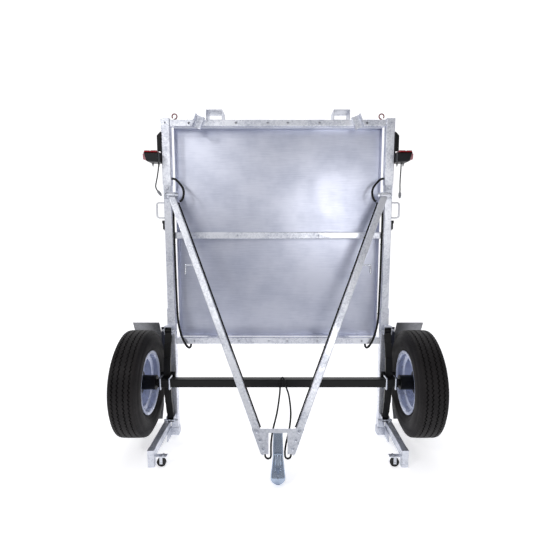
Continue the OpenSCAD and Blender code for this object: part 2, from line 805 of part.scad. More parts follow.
module at_lamps() {
    for (spot = lamp_spots)
        translate([spot[0] * lamp_pitch, cabinet_back, board_mid + spot[1] * lamp_pitch]) children();
}

// Visors, longest at the top, round each lamp
module lamp_hoods() {
    wall = 2;
    short = 16;
    color("#101012") at_lamps() difference() {
        y_rod(hood_d / 2, 0, hood_len);
        y_rod(hood_d / 2 - wall, -over, hood_len + over);
        translate([-hood_d, hood_len, hood_d / 2]) rotate([-atan((hood_len - short) / hood_d), 0, 0])
            translate([0, 0, -2 * hood_d]) cube([2 * hood_d, hood_len, 2 * hood_d]);
    }
}

module lamp_lenses() {
    color("#e39a1d") at_lamps() y_rod(hood_d / 2 - 2 - slip, 0, 9);
}

module board_hinge_leaves() {
    half = 18;
    color("silver") both_sides() translate([hinge_x, 0, 0]) difference() {
        union() {
            translate([0, hinge_y, hinge_z]) x_rod(knuckle_r, -half, half);
            slab([-half, half], [hinge_y, board_back], [board_z - 5, board_z]);
            slab([-half, half], [hinge_y - 3, hinge_y + 3], [hinge_z + 4, board_z]);
        }
        translate([0, hinge_y, hinge_z]) x_rod(hinge_pin_r + run_gap, -half - over, half + over);
    }
}

module frame_hinge_leaves() {
    half = 36;
    color("silver") both_sides() translate([hinge_x, 0, 0]) difference() {
        union() {
            slab([-half, half], [cross_back, cross_back + 5], [cross_low_z - cross_w / 2, cross_low_z + 12]);
            for (x = [-half, half - 16]) translate([x, 0, 0]) {
                translate([0, hinge_y, hinge_z]) x_rod(knuckle_r, 0, 16);
                slab([0, 16], [cross_back, hinge_y], [hinge_z - 4, hinge_z + 4]);
            }
        }
        translate([0, hinge_y, hinge_z]) x_rod(hinge_pin_r, -half - over, half + over);
    }
}

module hinge_pins() {
    color("lightgray") both_sides() translate([hinge_x, hinge_y, hinge_z]) {
        x_rod(hinge_pin_r, -40, 42);
        x_rod(hinge_pin_r + 3, 36, 40);
    }
}

// ---------------------------------------------------------------- tongue

module tongue_tube() {
    tube_len = tube_end / cos(tube_angle);
    color("gainsboro") on_tongue() difference() {
        union() {
            difference() {
                translate([pivot_x, 0, 0]) rotate([0, tube_angle, 0]) translate([0, 0, -tube_len])
                    box_tube(tongue_w, tongue_w, tongue_wall, tube_len);
                slab([0, 2 * pivot_x], [-tongue_w, tongue_w], [-tube_start, 2 * tongue_w]);
            }
            x_rod(pivot_boss_r, pivot_x - 21.5, pivot_x + 22.5);
        }
        x_rod(pivot_bolt_r + run_gap, pivot_x - 60, pivot_x + 60);
        translate([0, 0, -saddle_reach]) x_rod(pin_r + run_gap, saddle_x - 60, saddle_x + 60);
    }
}

module tongue_gusset() {
    rear = tongue_len - coupler_len - slip;
    top = min(tube_end - 120, rear - 20);
    low = tube_end - 1;
    notch = coupler_rear_w;
    slope = tan(tube_angle);
    half_low = tongue_end_x + tongue_w / 2 + 2;
    half_top = half_low + (low - top) * slope;
    color("silver") on_tongue() difference() {
        translate([0, -tongue_w / 2, 0]) rotate([90, 0, 0]) linear_extrude(plate_t) polygon([
            [-half_top, -top], [half_top, -top], [half_low, -low], [notch, -low], [notch, -rear],
            [-notch, -rear], [-notch, -low], [-half_low, -low]]);
        at_gusset_bolts() y_rod(6 + run_gap, -tongue_w, 0);
    }
}

module at_gusset_bolts() {
    for (side = [left, right]) for (k = [0:2]) {
        s = tube_end - 106 + 42 * k;
        x = pivot_x - s * tan(tube_angle);
        translate([side * x, 0, -s]) children();
    }
}

module gusset_bolts() {
    color("lightgray") on_tongue() at_gusset_bolts() {
        y_rod(6, -tongue_w / 2 - plate_t, -tongue_w / 2);
        y_hex(9.5, -tongue_w / 2 - plate_t - 7, -tongue_w / 2 - plate_t);
    }
}

// Plan of the coupler, grown by d
module coupler_plan(d) {
    rear = tongue_len - coupler_len;
    nose = tongue_len - nose_w / 2;
    half = coupler_rear_w / 2 + d;
    polygon([[-half, -rear - d], [half, -rear - d], [half + 3, -rear - 120], [nose_w / 2 + d, -nose],
        [-nose_w / 2 - d, -nose], [-half - 3, -rear - 120]]);
    translate([0, -nose]) circle(nose_w / 2 + d, $fn = 96);
}

// A channel with its web outward and a blind ball socket in its nose
module coupler_body() {
    nose = tongue_len - nose_w / 2;
    color("#aab4c4") on_tongue() {
        translate([0, coupler_back, 0]) rotate([90, 0, 0]) difference() {
            union() {
                difference() {
                    linear_extrude(coupler_depth) coupler_plan(0);
                    translate([0, 0, -over]) linear_extrude(coupler_depth - coupler_t + over)
                        coupler_plan(-coupler_t);
                }
                linear_extrude(coupler_depth - over) intersection() {
                    coupler_plan(-coupler_t / 2);
                    translate([0, -nose]) square([nose_w, nose_w + 0.2], center = true);
                }
            }
            translate([0, -nose, -over]) cylinder(h = coupler_depth - 8 + over, r = socket_r, $fn = 96);
        }
        for (side = [left, right]) side_of(side) translate([0, latch_off, -latch_s]) {
            x_rod(latch_r, latch_half + slip, latch_half + 4);
            slab([latch_half + slip, latch_half + 4], [0, -web_off - latch_off], [-latch_r, latch_r]);
            x_rod(latch_pin_r, 0, latch_half + slip);
        }
    }
}

// The tongue of the clamp that closes under the ball, in the channel behind the socket
module ball_clamp() {
    s = tongue_len - nose_w - 8;
    color("dimgray") on_tongue() {
        slab([-14, 14], [coupler_back - 26, coupler_back - 18], [-s + slip, -s + 70]);
        slab([-4, 4], [-web_off + coupler_t, coupler_back - 26], [-s + 30, -s + 44]);
    }
}

// Lever on the coupler's web
module coupler_latch() {
    lever = 62;
    color("#97a1b3") on_tongue() translate([0, latch_off, -latch_s]) difference() {
        union() {
            x_rod(latch_r, -latch_half, latch_half);
            slab([-latch_half, latch_half], [-latch_r, latch_r], [-lever, 0]);
            translate([0, -latch_r, -lever]) x_rod(latch_r, -latch_half, latch_half);
        }
        x_rod(latch_pin_r + run_gap, -latch_half - over, latch_half + over);
    }
}

module tongue_cable() {
    color("#121212") on_tongue() cable(cable_route, cable_d, 8, 2);
}

// Wires clipped along the inner sides of the tongue tubes
module tongue_wires() {
    off = tongue_w / 2 + wire_d / 2 + slip;
    tube_len = tube_end / cos(tube_angle);
    color("#151515") both_sides() on_tongue_tube() translate([-off, 0, -tube_len + 130])
        cylinder(h = tube_len - 190, r = wire_d / 2, $fn = 16);
}

module hitch_pin() {
    reach = tongue_w / 2 / cos(tube_angle);
    out = saddle_x + reach + 40;
    color("lightgray") on_tongue() translate([0, 0, -saddle_reach]) {
        x_rod(pin_r, saddle_x - reach + 3, out);
        translate([out, 0, 0]) sphere(pin_r, $fn = 32);
        translate([out, 0, -50]) cylinder(h = 50, r = pin_r, $fn = 48);
        translate([out, 0, -50]) sphere(pin_r, $fn = 32);
    }
}

// ---------------------------------------------------------------- wheels

// Points [radius, distance outboard] of one sidewall, inset by d
function sidewall(d) =
    let (r0 = flange_r + 4, r1 = tyre_r - 10, x0 = rim_w / 2 - 3 - d, x1 = tread_w / 2 + 6 - d,
        bulge = tyre_w / 2 - (rim_w + tread_w + 6) / 4)
    [for (k = [0:8]) let (a = k / 8) [r0 + (r1 - r0 - d) * a, x0 + (x1 - x0) * a + bulge * sin(180 * a)]];

function mirrored(points) = [for (k = [len(points) - 1:-1:0]) [points[k][0], -points[k][1]]];

module tyre() {
    wall = 9;
    bead_x = rim_w / 2 - 6;
    outer = concat([[rim_r + bead_gap, bead_x]], sidewall(0),
        [[tyre_r - 2, tread_w / 2], [tyre_r, tread_w / 2 - 8]]);
    inner = concat([[rim_r - over, bead_x - 1.6 * wall]], sidewall(wall));
    color("#1a1a1c") on_wheel() turned() difference() {
        polygon(concat(outer, mirrored(outer)));
        polygon(concat(inner, mirrored(inner)));
        for (x = [-44, -16, 16, 44]) translate([tyre_r - 8, x - 3]) square([20, 6]);
    }
}

// Pressed steel wheel: flanges, bead seats, drop centre and a dished disc
module rim() {
    t = 3;
    well = 20;
    h = rim_w / 2;
    half_outer = [[rim_r + flange_h, h + t], [rim_r + flange_h, h], [rim_r + 6, h - 1], [rim_r, h - 5],
        [rim_r - 1, 34], [rim_r - well, 24]];
    half_inner = [[rim_r - well - t, 26], [rim_r - t - 1, 36], [rim_r - t, h - 4], [rim_r + 6 - t, h + t]];
    well_r = rim_r - well - t;
    color("#b9c2da") on_wheel() difference() {
        turned() {
            polygon(concat(half_outer, mirrored(half_outer), mirrored(half_inner), half_inner));
            polygon([[34, 0], [80, 0], [104, 14], [well_r + 1, 14], [well_r + 1, 18], [102, 18], [78, 4], [34, 4]]);
        }
        for (k = [0:4]) rotate([72 * k, 0, 0]) translate([0, 0, lug_circle_r]) x_rod(7, -over, 6);
    }
}

// Hub with its flange, wheel bolts, nuts and dust cap
module hub() {
    color("#1d1d1f") on_wheel() difference() {
        union() {
            turned() polygon([[spindle_r + run_gap, -hub_back], [42, -hub_back], [42, -20], [46, -10], [70, -10], [70, 0],
                [33, 0], [33, 30], [spindle_r + run_gap, 30]]);
            turned() polygon([[24, 30], [31, 30], [31, 44], [24, 54], [0, 57], [0, 53], [21, 50], [27, 42], [24, 36]]);
            for (k = [0:4]) rotate([72 * k, 0, 0]) translate([0, 0, lug_circle_r]) {
                x_rod(6.5, -14, 24);
                x_rod(10, 4 + slip, 16, 6);
            }
        }
    }
}

// ---------------------------------------------------------------- nodes

placed() side_of(left) rail();  // rail_left
placed() side_of(right) rail();  // rail_right
placed() rail_sleeves();
placed() foot_brackets();
placed() cross_tube(cross_top_z, frame_w / 2 - sleeve_w, 3);  // cross_tube_top
placed() cross_tube(cross_mid_z, rail_x - rail_w / 2, 2);  // cross_tube_middle
placed() cross_tube(cross_low_z, rail_x - rail_w / 2, 3);  // cross_tube_bottom
placed() tongue_brackets();
placed() chassis_bolts();
placed() tongue_saddles();
placed() stacking_brackets();
placed() tie_hooks();
placed() side_handles();
placed() draw_latches();
placed() lamp_brackets();
placed() tail_lamp_housings();
placed() tail_lamp_lenses();
placed() marker_lenses();
placed() lamp_lead(lead_left_route);  // lamp_lead_left
placed() lamp_lead(lead_right_route);  // lamp_lead_right
placed() lamp_plugs();
placed() rail_harness();
placed() pivot_loops();
placed() spring_hangers();
placed() leaf_springs();
placed() u_bolts();
placed() tie_plates();
placed() axle();
placed() spindles();
placed() fenders();
placed() fender_brackets();
placed() stand_legs();
placed() frame_hinge_leaves();
placed() hinge_pins();
placed() board_pan();
placed() lamp_cabinet();
placed() lamp_hoods();
placed() lamp_lenses();
placed() board_hinge_leaves();
placed() side_of(left) tongue_tube();  // tongue_tube_left
placed() side_of(right) tongue_tube();  // tongue_tube_right
placed() tongue_gusset();
placed() gusset_bolts();
placed() coupler_body();
placed() ball_clamp();
placed() tongue_cable();
placed() tongue_wires();
placed() coupler_latch();
placed() side_of(left) hitch_pin();  // hitch_pin_left
placed() side_of(right) hitch_pin();  // hitch_pin_right
placed() side_of(left) tyre();  // tyre_left
placed() side_of(left) rim();  // rim_left
placed() side_of(left) hub();  // hub_left
placed() side_of(right) tyre();  // tyre_right
placed() side_of(right) rim();  // rim_right
placed() side_of(right) hub();  // hub_right
placed() side_of(left) caster_fork();  // caster_fork_left
placed() side_of(left) caster_wheel();  // caster_wheel_left
placed() side_of(right) caster_fork();  // caster_fork_right
placed() side_of(right) caster_wheel();  // caster_wheel_right
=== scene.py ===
"""Arrow board trailer standing on its rear end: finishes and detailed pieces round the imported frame."""

import json
import logging
import math
from dataclasses import dataclass
from enum import Enum

import bmesh
import bpy
from mathutils import Matrix, Vector


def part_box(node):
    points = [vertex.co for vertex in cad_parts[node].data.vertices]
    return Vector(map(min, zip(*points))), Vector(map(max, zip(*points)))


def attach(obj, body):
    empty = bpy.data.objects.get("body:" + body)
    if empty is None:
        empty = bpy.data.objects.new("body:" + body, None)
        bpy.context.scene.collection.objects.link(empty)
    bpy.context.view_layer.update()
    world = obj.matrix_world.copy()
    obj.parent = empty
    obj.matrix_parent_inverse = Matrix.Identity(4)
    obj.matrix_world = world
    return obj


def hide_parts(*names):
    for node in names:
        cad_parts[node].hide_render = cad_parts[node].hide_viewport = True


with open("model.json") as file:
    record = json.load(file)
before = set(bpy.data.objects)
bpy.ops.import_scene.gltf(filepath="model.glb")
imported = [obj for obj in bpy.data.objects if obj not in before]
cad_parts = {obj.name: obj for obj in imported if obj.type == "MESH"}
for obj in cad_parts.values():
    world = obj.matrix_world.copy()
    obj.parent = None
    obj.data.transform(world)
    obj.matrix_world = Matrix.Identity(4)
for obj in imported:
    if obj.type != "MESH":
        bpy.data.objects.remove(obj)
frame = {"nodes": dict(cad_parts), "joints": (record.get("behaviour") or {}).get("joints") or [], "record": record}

LOG = logging.getLogger("arrow_board_trailer")
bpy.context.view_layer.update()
MM = 0.001
SAME_SPOT = 1e-6


# ---------------------------------------------------------------- small tools


def linear(code: str) -> tuple[float, float, float, float]:
    """Turns an sRGB hex colour to the linear values that a shader takes.

    Args:
        code: Six hex digits, such as "c8ccd6".

    Returns:
        Red, green, blue and an alpha of 1.
    """
    parts = [int(code[k:k + 2], 16) / 255 for k in (0, 2, 4)]
    low = [p / 12.92 if p <= 0.04045 else ((p + 0.055) / 1.055) ** 2.4 for p in parts]
    return (low[0], low[1], low[2], 1.0)


def add_node(tree: bpy.types.NodeTree, kind: str, settings: dict | None = None,
             inputs: dict | None = None) -> bpy.types.Node:
    """Adds a node, sets it and links it.

    Args:
        tree: The node tree that takes the node.
        kind: The node's type name.
        settings: Attributes of the node.
        inputs: Values or output sockets for its inputs, by name or number.

    Returns:
        The new node.
    """
    node = tree.nodes.new(kind)
    for key, value in (settings or {}).items():
        setattr(node, key, value)
    for key, value in (inputs or {}).items():
        if isinstance(value, bpy.types.NodeSocket):
            tree.links.new(value, node.inputs[key])
        else:
            node.inputs[key].default_value = value
    return node


def catmull(points: list[Vector], cuts: int) -> list[Vector]:
    """Runs a smooth curve through points.

    Args:
        points: The points, in order.
        cuts: How many steps each span gets.

    Returns:
        The points of the curve.
    """
    last = len(points) - 1
    line = []
    for i in range(last):
        a, b, c, d = (points[min(max(i + k, 0), last)] for k in (-1, 0, 1, 2))
        for k in range(cuts):
            t = k / cuts
            line.append(0.5 * (2 * b + (c - a) * t + (2 * a - 5 * b + 4 * c - d) * t * t
                               + (3 * b - a - 3 * c + d) * t ** 3))
    return line + [points[last].copy()]


class Draft:
    """Collects the faces of one piece before it becomes an object."""

    def __init__(self) -> None:
        """Starts with an empty mesh."""
        self.mesh = bmesh.new()

    def loft(self, rings: list[list[Vector]], around: bool = False, capped: bool = True) -> None:
        """Skins closed rings of points, one after another.

        Args:
            rings: Rings of the same number of points.
            around: Whether the last ring joins the first.
            capped: Whether the two ends are closed.
        """
        rows = [[self.mesh.verts.new(p) for p in ring] for ring in rings]
        count = len(rows[0])
        pairs = list(zip(rows, rows[1:])) + ([(rows[-1], rows[0])] if around else [])
        for a, b in pairs:
            for k in range(count):
                self.mesh.faces.new((a[k], b[k], b[(k + 1) % count], a[(k + 1) % count]))
        if capped and not around:
            self.mesh.faces.new(rows[0][::-1])
            self.mesh.faces.new(rows[-1])

    def tube(self, line: list[Vector], radius: float | list[float], sides: int = 14) -> None:
        """Sweeps a round section along a line.

        Args:
            line: The centre line.
            radius: One radius, or one for each point.
            sides: How many sides the section has.
        """
        radii = radius if isinstance(radius, list) else [radius] * len(line)
        rings = []
        normal = None
        for i, point in enumerate(line):
            way = (line[min(i + 1, len(line) - 1)] - line[max(i - 1, 0)]).normalized()
            if normal is None:
                normal = way.orthogonal().normalized()
            normal = (normal - normal.dot(way) * way).normalized()
            side = way.cross(normal)
            rings.append([point + radii[i] * (math.cos(a) * normal + math.sin(a) * side)
                          for a in (2 * math.pi * k / sides for k in range(sides))])
        self.loft(rings)

    def prism(self, outline: list[Vector], along: Vector, bevel: float) -> None:
        """Extrudes a flat outline, with its two rims chamfered.

        Args:
            outline: The outline's points.
            along: The extrusion.
            bevel: The chamfer.
        """
        middle = sum(outline, Vector()) / len(outline)
        way = along.normalized()
        inset = [p + (middle - p).normalized() * bevel for p in outline]
        self.loft([inset, [p + way * bevel for p in outline],
                   [p + along - way * bevel for p in outline], [p + along for p in inset]])

    def turn(self, outline: list[tuple[float, float]], centre: Vector, axis: Vector,
             steps: int = 64) -> None:
        """Turns a closed outline of [radius, height] about an axis.

        Args:
            outline: The closed outline, clear of the axis.
            centre: A point on the axis, at height 0.
            axis: The axis.
            steps: How many steps the full turn has.
        """
        way = axis.normalized()
        out = way.orthogonal().normalized()
        side = way.cross(out)
        turns = (2 * math.pi * k / steps for k in range(steps))
        self.loft([[centre + way * h + r * (math.cos(a) * out + math.sin(a) * side)
                    for r, h in outline] for a in turns], around=True)

    def done(self, name: str, material: bpy.types.Material, body: str, slot: str,
             replaced: tuple[str, ...] = (), angle: float = 38.0) -> bpy.types.Object:
        """Makes the object, with outward faces, and lets it ride on its body.

        Args:
            name: The piece's name.
            material: Its finish.
            body: The body that it moves with.
            slot: The record's material slot; not used.
            replaced: The CAD nodes that it stands for.
            angle: Edges sharper than this stay sharp, in degrees.

        Returns:
            The new object.
        """
        bmesh.ops.remove_doubles(self.mesh, verts=self.mesh.verts, dist=SAME_SPOT)
        bmesh.ops.recalc_face_normals(self.mesh, faces=self.mesh.faces)
        data = bpy.data.meshes.new(name)
        self.mesh.to_mesh(data)
        self.mesh.free()
        data.shade_smooth()
        data.set_sharp_from_angle(angle=math.radians(angle))
        made = bpy.data.objects.new(name, data)
        bpy.context.scene.collection.objects.link(made)
        data.materials.append(material)
        return settle(made, body, replaced)


def settle(made: bpy.types.Object, body: str,
           replaced: tuple[str, ...] = ()) -> bpy.types.Object:
    """Lets a finished object ride on a body and hides the CAD nodes that it stands for.

    Args:
        made: The finished object.
        body: The body that it moves with.
        replaced: The CAD nodes that it stands for.

    Returns:
        The same object.
    """
    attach(made, body)
    if replaced:
        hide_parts(*replaced)
    LOG.info("%s rides on %s", made.name, body)
    return made


# ---------------------------------------------------------------- finishes


class Pattern(Enum):
    """How a finish varies over the surface."""

    CLOUD = "soft clouds of tone"
    SPANGLE = "zinc crystals"
    BRUSHED = "fine straight lines of a rolled sheet"
    PEBBLE = "fine pebbles of a moulded or rubber skin"


@dataclass(frozen=True)
class Finish:
    """One real finish, with its colours, gloss and pattern.

    The broad marks are handling marks and uneven drying, and their size is in millimetres, as the
    grain's is.
    """

    name: str
    light: str
    deep: str
    metallic: float
    rough: tuple[float, float]
    pattern: Pattern
    grain_mm: float
    bump_mm: float = 0.0
    coat: float = 0.0
    clear: float = 0.0
    glow: float = 0.0
    shine: float = 0.5
    broad_mm: float = 150
    coat_rough: float = 0.08

    def made(self) -> bpy.types.Material:
        """Builds the node material.

        Returns:
            The material.
        """
        material = bpy.data.materials.new(self.name)
        material.use_nodes = True
        tree = material.node_tree
        tree.nodes.clear()
        where = add_node(tree, "ShaderNodeTexCoord").outputs["Object"]
        pattern = self.patterned(tree, where)
        broad = add_node(tree, "ShaderNodeTexNoise", None, {
            "Vector": where, "Scale": 1 / (self.broad_mm * MM), "Detail": 3.0, "Roughness": 0.55})
        tone = add_node(tree, "ShaderNodeMath", {"operation": "MULTIPLY_ADD"}, {
            0: pattern, 1: 0.7, 2: broad.outputs["Fac"]})
        ramp = add_node(tree, "ShaderNodeValToRGB", None, {"Fac": tone.outputs[0]})
        ramp.color_ramp.elements[0].position = 0.45
        ramp.color_ramp.elements[0].color = linear(self.deep)
        ramp.color_ramp.elements[1].position = 1.15 if self.metallic < 0.5 else 1.0
        ramp.color_ramp.elements[1].color = linear(self.light)
        rough = add_node(tree, "ShaderNodeMapRange", None, {
            "Value": tone.outputs[0], "From Min": 0.4, "From Max": 1.1,
            "To Min": self.rough[1], "To Max": self.rough[0]})
        shader = add_node(tree, "ShaderNodeBsdfPrincipled", None, {
            "Base Color": ramp.outputs["Color"], "Roughness": rough.outputs["Result"],
            "Metallic": self.metallic, "Coat Weight": self.coat, "Coat Roughness": self.coat_rough,
            "Transmission Weight": self.clear, "Specular IOR Level": self.shine})
        # Emission in the finish's light colour: a painted glow, not a lamp that is switched on
        if self.glow > 0:
            shader.inputs["Emission Color"].default_value = linear(self.light)
            shader.inputs["Emission Strength"].default_value = self.glow
        if self.bump_mm > 0:
            bump = add_node(tree, "ShaderNodeBump", None, {
                "Strength": 1.0, "Distance": self.bump_mm * MM, "Height": pattern})
            tree.links.new(bump.outputs["Normal"], shader.inputs["Normal"])
        add_node(tree, "ShaderNodeOutputMaterial", None, {"Surface": shader.outputs["BSDF"]})
        return material

    def patterned(self, tree: bpy.types.NodeTree,
                  where: bpy.types.NodeSocket) -> bpy.types.NodeSocket:
        """Adds the nodes of the pattern.

        Args:
            tree: The material's tree.
            where: The coordinates.

        Returns:
            The pattern's value, about 0 to 1.
        """
        scale = 1 / (self.grain_mm * MM)
        if self.pattern is Pattern.SPANGLE:
            cells = add_node(tree, "ShaderNodeTexVoronoi", {"feature": "F1"}, {
                "Vector": where, "Scale": scale, "Randomness": 1.0})
            tone = add_node(tree, "ShaderNodeSeparateColor", None, {
                "Color": cells.outputs["Color"]})
            fine = add_node(tree, "ShaderNodeTexNoise", None, {
                "Vector": where, "Scale": scale * 2.5, "Detail": 4.0})
            mixed = add_node(tree, "ShaderNodeMath", {"operation": "MULTIPLY_ADD"}, {
                0: tone.outputs["Red"], 1: 0.5, 2: fine.outputs["Fac"]})
            return add_node(tree, "ShaderNodeMath", {"operation": "MULTIPLY"}, {
                0: mixed.outputs[0], 1: 0.75}).outputs[0]
        if self.pattern is Pattern.BRUSHED:
            stretched = add_node(tree, "ShaderNodeMapping", None, {
                "Vector": where, "Scale": (0.02 * scale, scale, scale)})
            return add_node(tree, "ShaderNodeTexNoise", None, {
                "Vector": stretched.outputs["Vector"], "Scale": 1.0, "Detail": 3.0}).outputs["Fac"]
        if self.pattern is Pattern.PEBBLE:
            return add_node(tree, "ShaderNodeTexVoronoi", {"feature": "SMOOTH_F1"}, {
                "Vector": where, "Scale": scale, "Randomness": 0.9,
                "Smoothness": 0.6}).outputs["Distance"]
        return add_node(tree, "ShaderNodeTexNoise", None, {
            "Vector": where, "Scale": scale, "Detail": 4.0, "Roughness": 0.6}).outputs["Fac"]


class Finishes:
    """The trailer's finishes, each made once, and the CAD nodes that wear them."""

    def __init__(self) -> None:
        """Makes every finish."""
        listed = (
            # Hot-dipped zinc on tube: pale, mottled grey with crystals of about 10 mm
            Finish("hot_dip_zinc_tube", "eef0f7", "a9aebd", 0.8, (0.32, 0.5), Pattern.SPANGLE, 8, 0.06),
            # Hot-dipped zinc on folded plate: a little darker and duller
            Finish("hot_dip_zinc_plate", "dadde6", "8f94a3", 0.8, (0.36, 0.56), Pattern.SPANGLE, 10, 0.07),
            # Bright zinc plate on bolts and pins: fine and even
            Finish("bright_zinc_plate", "d2d5dc", "959aa6", 1.0, (0.2, 0.36), Pattern.CLOUD, 4, 0.01),
            # Blue-passivated zinc on the pressed coupler: satin with a blue cast
            Finish("blue_passivated_zinc", "b2bfd2", "72809a", 0.95, (0.14, 0.28), Pattern.CLOUD, 30, 0.05),
            # Mill-finish rolled aluminium sheet: a soft sheen with faint lines
            Finish("rolled_aluminium_sheet", "d3d6e4", "b3b8ca", 0.95, (0.34, 0.42), Pattern.BRUSHED, 1.6, 0.004),
            # Black powder coat on the lamp cabinet: matt, with a fine orange peel
            Finish("black_powder_coat", "1b1b1d", "0f0f10", 0.0, (0.55, 0.7), Pattern.PEBBLE, 1.5, 0.02),
            # Black gloss enamel, brushed on the axle and springs
            Finish("black_gloss_enamel", "08080a", "040405", 0.0, (0.3, 0.5), Pattern.CLOUD, 20, 0.05, shine=0.25),
            # Red powder coat on the tie-down rings
            Finish("red_powder_coat", "840c1c", "50060f", 0.0, (0.25, 0.4), Pattern.CLOUD, 6, 0.02, 0.3),
            # Pale moulded nylon on the handle grips
            Finish("pale_moulded_nylon", "e6e7ea", "c9cbd0", 0.0, (0.35, 0.5), Pattern.PEBBLE, 1.5, 0.01),
            # Vulcanised rubber of the latches and caster treads
            Finish("moulded_rubber", "161617", "0a0a0b", 0.0, (0.6, 0.8), Pattern.PEBBLE, 2, 0.03),
            # Tyre rubber: carbon black, dry and slightly brown where it is worn
            Finish("tyre_rubber", "1d1a1b", "060607", 0.0, (0.5, 0.7), Pattern.PEBBLE, 2.5, 0.05, shine=0.2),
            # Moulded black ABS of the tail lamps
            Finish("moulded_black_abs", "101116", "08090c", 0.0, (0.3, 0.45), Pattern.PEBBLE, 1.2, 0.01, shine=0.3),
            # Tinted acrylic lenses: clear plastic that takes its colour from the dye; the amber finish also has a
            # faint painted glow in its own colour
            Finish("red_acrylic", "b3101e", "7a0a14", 0.0, (0.08, 0.16), Pattern.CLOUD, 8, 0.05, 0.4, 0.25),
            Finish("rose_acrylic", "dfa5ab", "b8737d", 0.0, (0.1, 0.2), Pattern.CLOUD, 8, 0.05, 0.3, 0.35),
            Finish("amber_acrylic", "f0a020", "c46d08", 0.0, (0.1, 0.2), Pattern.PEBBLE, 5, 0.3, 0.4, 0.2, 0.15),
            # PVC cable jacket: black, satin
            Finish("black_pvc_jacket", "0a0a0c", "040405", 0.0, (0.32, 0.5), Pattern.CLOUD, 10, 0.02, shine=0.3),
            # Grey moulded nylon of the connectors
            Finish("grey_moulded_nylon", "8f9196", "5d5f64", 0.0, (0.45, 0.6), Pattern.PEBBLE, 1.2, 0.01),
            # Galvanised sheet of the fenders, weathered dull
            Finish("dull_galvanised_sheet", "8f9094", "6a6b70", 0.7, (0.45, 0.6), Pattern.SPANGLE, 14, 0.04),
            # Slate-grey paint on the bracket arms
            Finish("slate_grey_paint", "3f4250", "2a2b33", 0.0, (0.35, 0.55), Pattern.CLOUD, 12, 0.02),
            # Moulded polypropylene of the lamp visors
            Finish("black_polypropylene", "161617", "0c0c0d", 0.0, (0.5, 0.65), Pattern.PEBBLE, 1.5, 0.02),
            # Silver wheel lacquer over primer: pale, cool blue
            Finish("silver_wheel_lacquer", "c9d1ea", "a2abcb", 0.35, (0.24, 0.36), Pattern.CLOUD, 30, 0.02, 0.4),
        )
        self.made = {finish.name: finish.made() for finish in listed}
        self.of_slot = {
            "galvanised_tube": "hot_dip_zinc_tube", "galvanised_plate": "hot_dip_zinc_plate",
            "zinc_fasteners": "bright_zinc_plate", "blue_zinc": "blue_passivated_zinc",
            "red_coat": "red_powder_coat", "light_handle": "pale_moulded_nylon",
            "black_rubber": "moulded_rubber", "black_enamel": "black_gloss_enamel",
            "lamp_shell": "moulded_black_abs", "red_lens": "red_acrylic",
            "marker_lens": "rose_acrylic", "cable_jacket": "black_pvc_jacket",
            "grey_plug": "grey_moulded_nylon", "fender_steel": "dull_galvanised_sheet",
            "dark_bracket": "slate_grey_paint", "board_sheet": "rolled_aluminium_sheet",
            "board_black": "black_powder_coat", "hood_black": "black_polypropylene",
            "amber_lens": "amber_acrylic", "tyre": "tyre_rubber", "rim_silver": "silver_wheel_lacquer",
        }

    def slot(self, name: str) -> bpy.types.Material:
        """Gives the material of a record slot."""
        return self.made[self.of_slot[name]]

    def dress_nodes(self) -> None:
        """Gives every CAD node the finish of its slot."""
        for part in frame["record"]["subparts"]:
            node = frame["nodes"][part["node"]]
            node.data.materials.clear()
            node.data.materials.append(self.slot(part["material_slot"]))
        LOG.info("%d CAD nodes dressed", len(frame["nodes"]))


# ---------------------------------------------------------------- places


@dataclass(frozen=True)
class Tube:
    """The folded tongue's tubes, in the tongue's own frame and millimetres."""

    pivot_x: float = 612
    end_x: float = 66
    width: float = 38.1
    reach: float = 1541.93
    nose_reach: float = 147

    @property
    def end(self) -> float:
        """Gives how far below the pivots the tubes end."""
        return self.reach - self.nose_reach

    @property
    def angle(self) -> float:
        """Gives the tubes' angle to the tongue's middle line, in radians."""
        return math.atan((self.pivot_x - self.end_x) / self.end)

    @property
    def length(self) -> float:
        """Gives one tube's length."""
        return self.end / math.cos(self.angle)


class Places:
    """Where the frame's main pieces are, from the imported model."""

    tube = Tube()

    def __init__(self) -> None:
        """Reads the sleeves' front face and the joints."""
        self.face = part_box("rail_sleeves")[0].y
        self.joints = {joint["name"]: joint for joint in frame["joints"]}
        self.pivot = Vector(self.joints["tongue_fold"]["pos_m"])
        socket = next(m for m in frame["record"]["mounts"] if m["name"] == "coupler_socket")
        inward = Vector(socket["axis"])
        self.lean = math.atan2(-inward.z, inward.y)

    def chassis(self, x: float, depth: float, z: float) -> Vector:
        """Turns millimetres from the sleeves' front face to a point in metres."""
        return Vector((x * MM, self.face + depth * MM, z * MM))

    def tongue(self, x: float, depth: float, z: float) -> Vector:
        """Turns millimetres in the folded tongue's own frame to a point in metres."""
        turned = Matrix.Rotation(-self.lean, 3, "X") @ Vector((x, depth, z))
        return self.pivot + turned * MM


# ---------------------------------------------------------------- cords


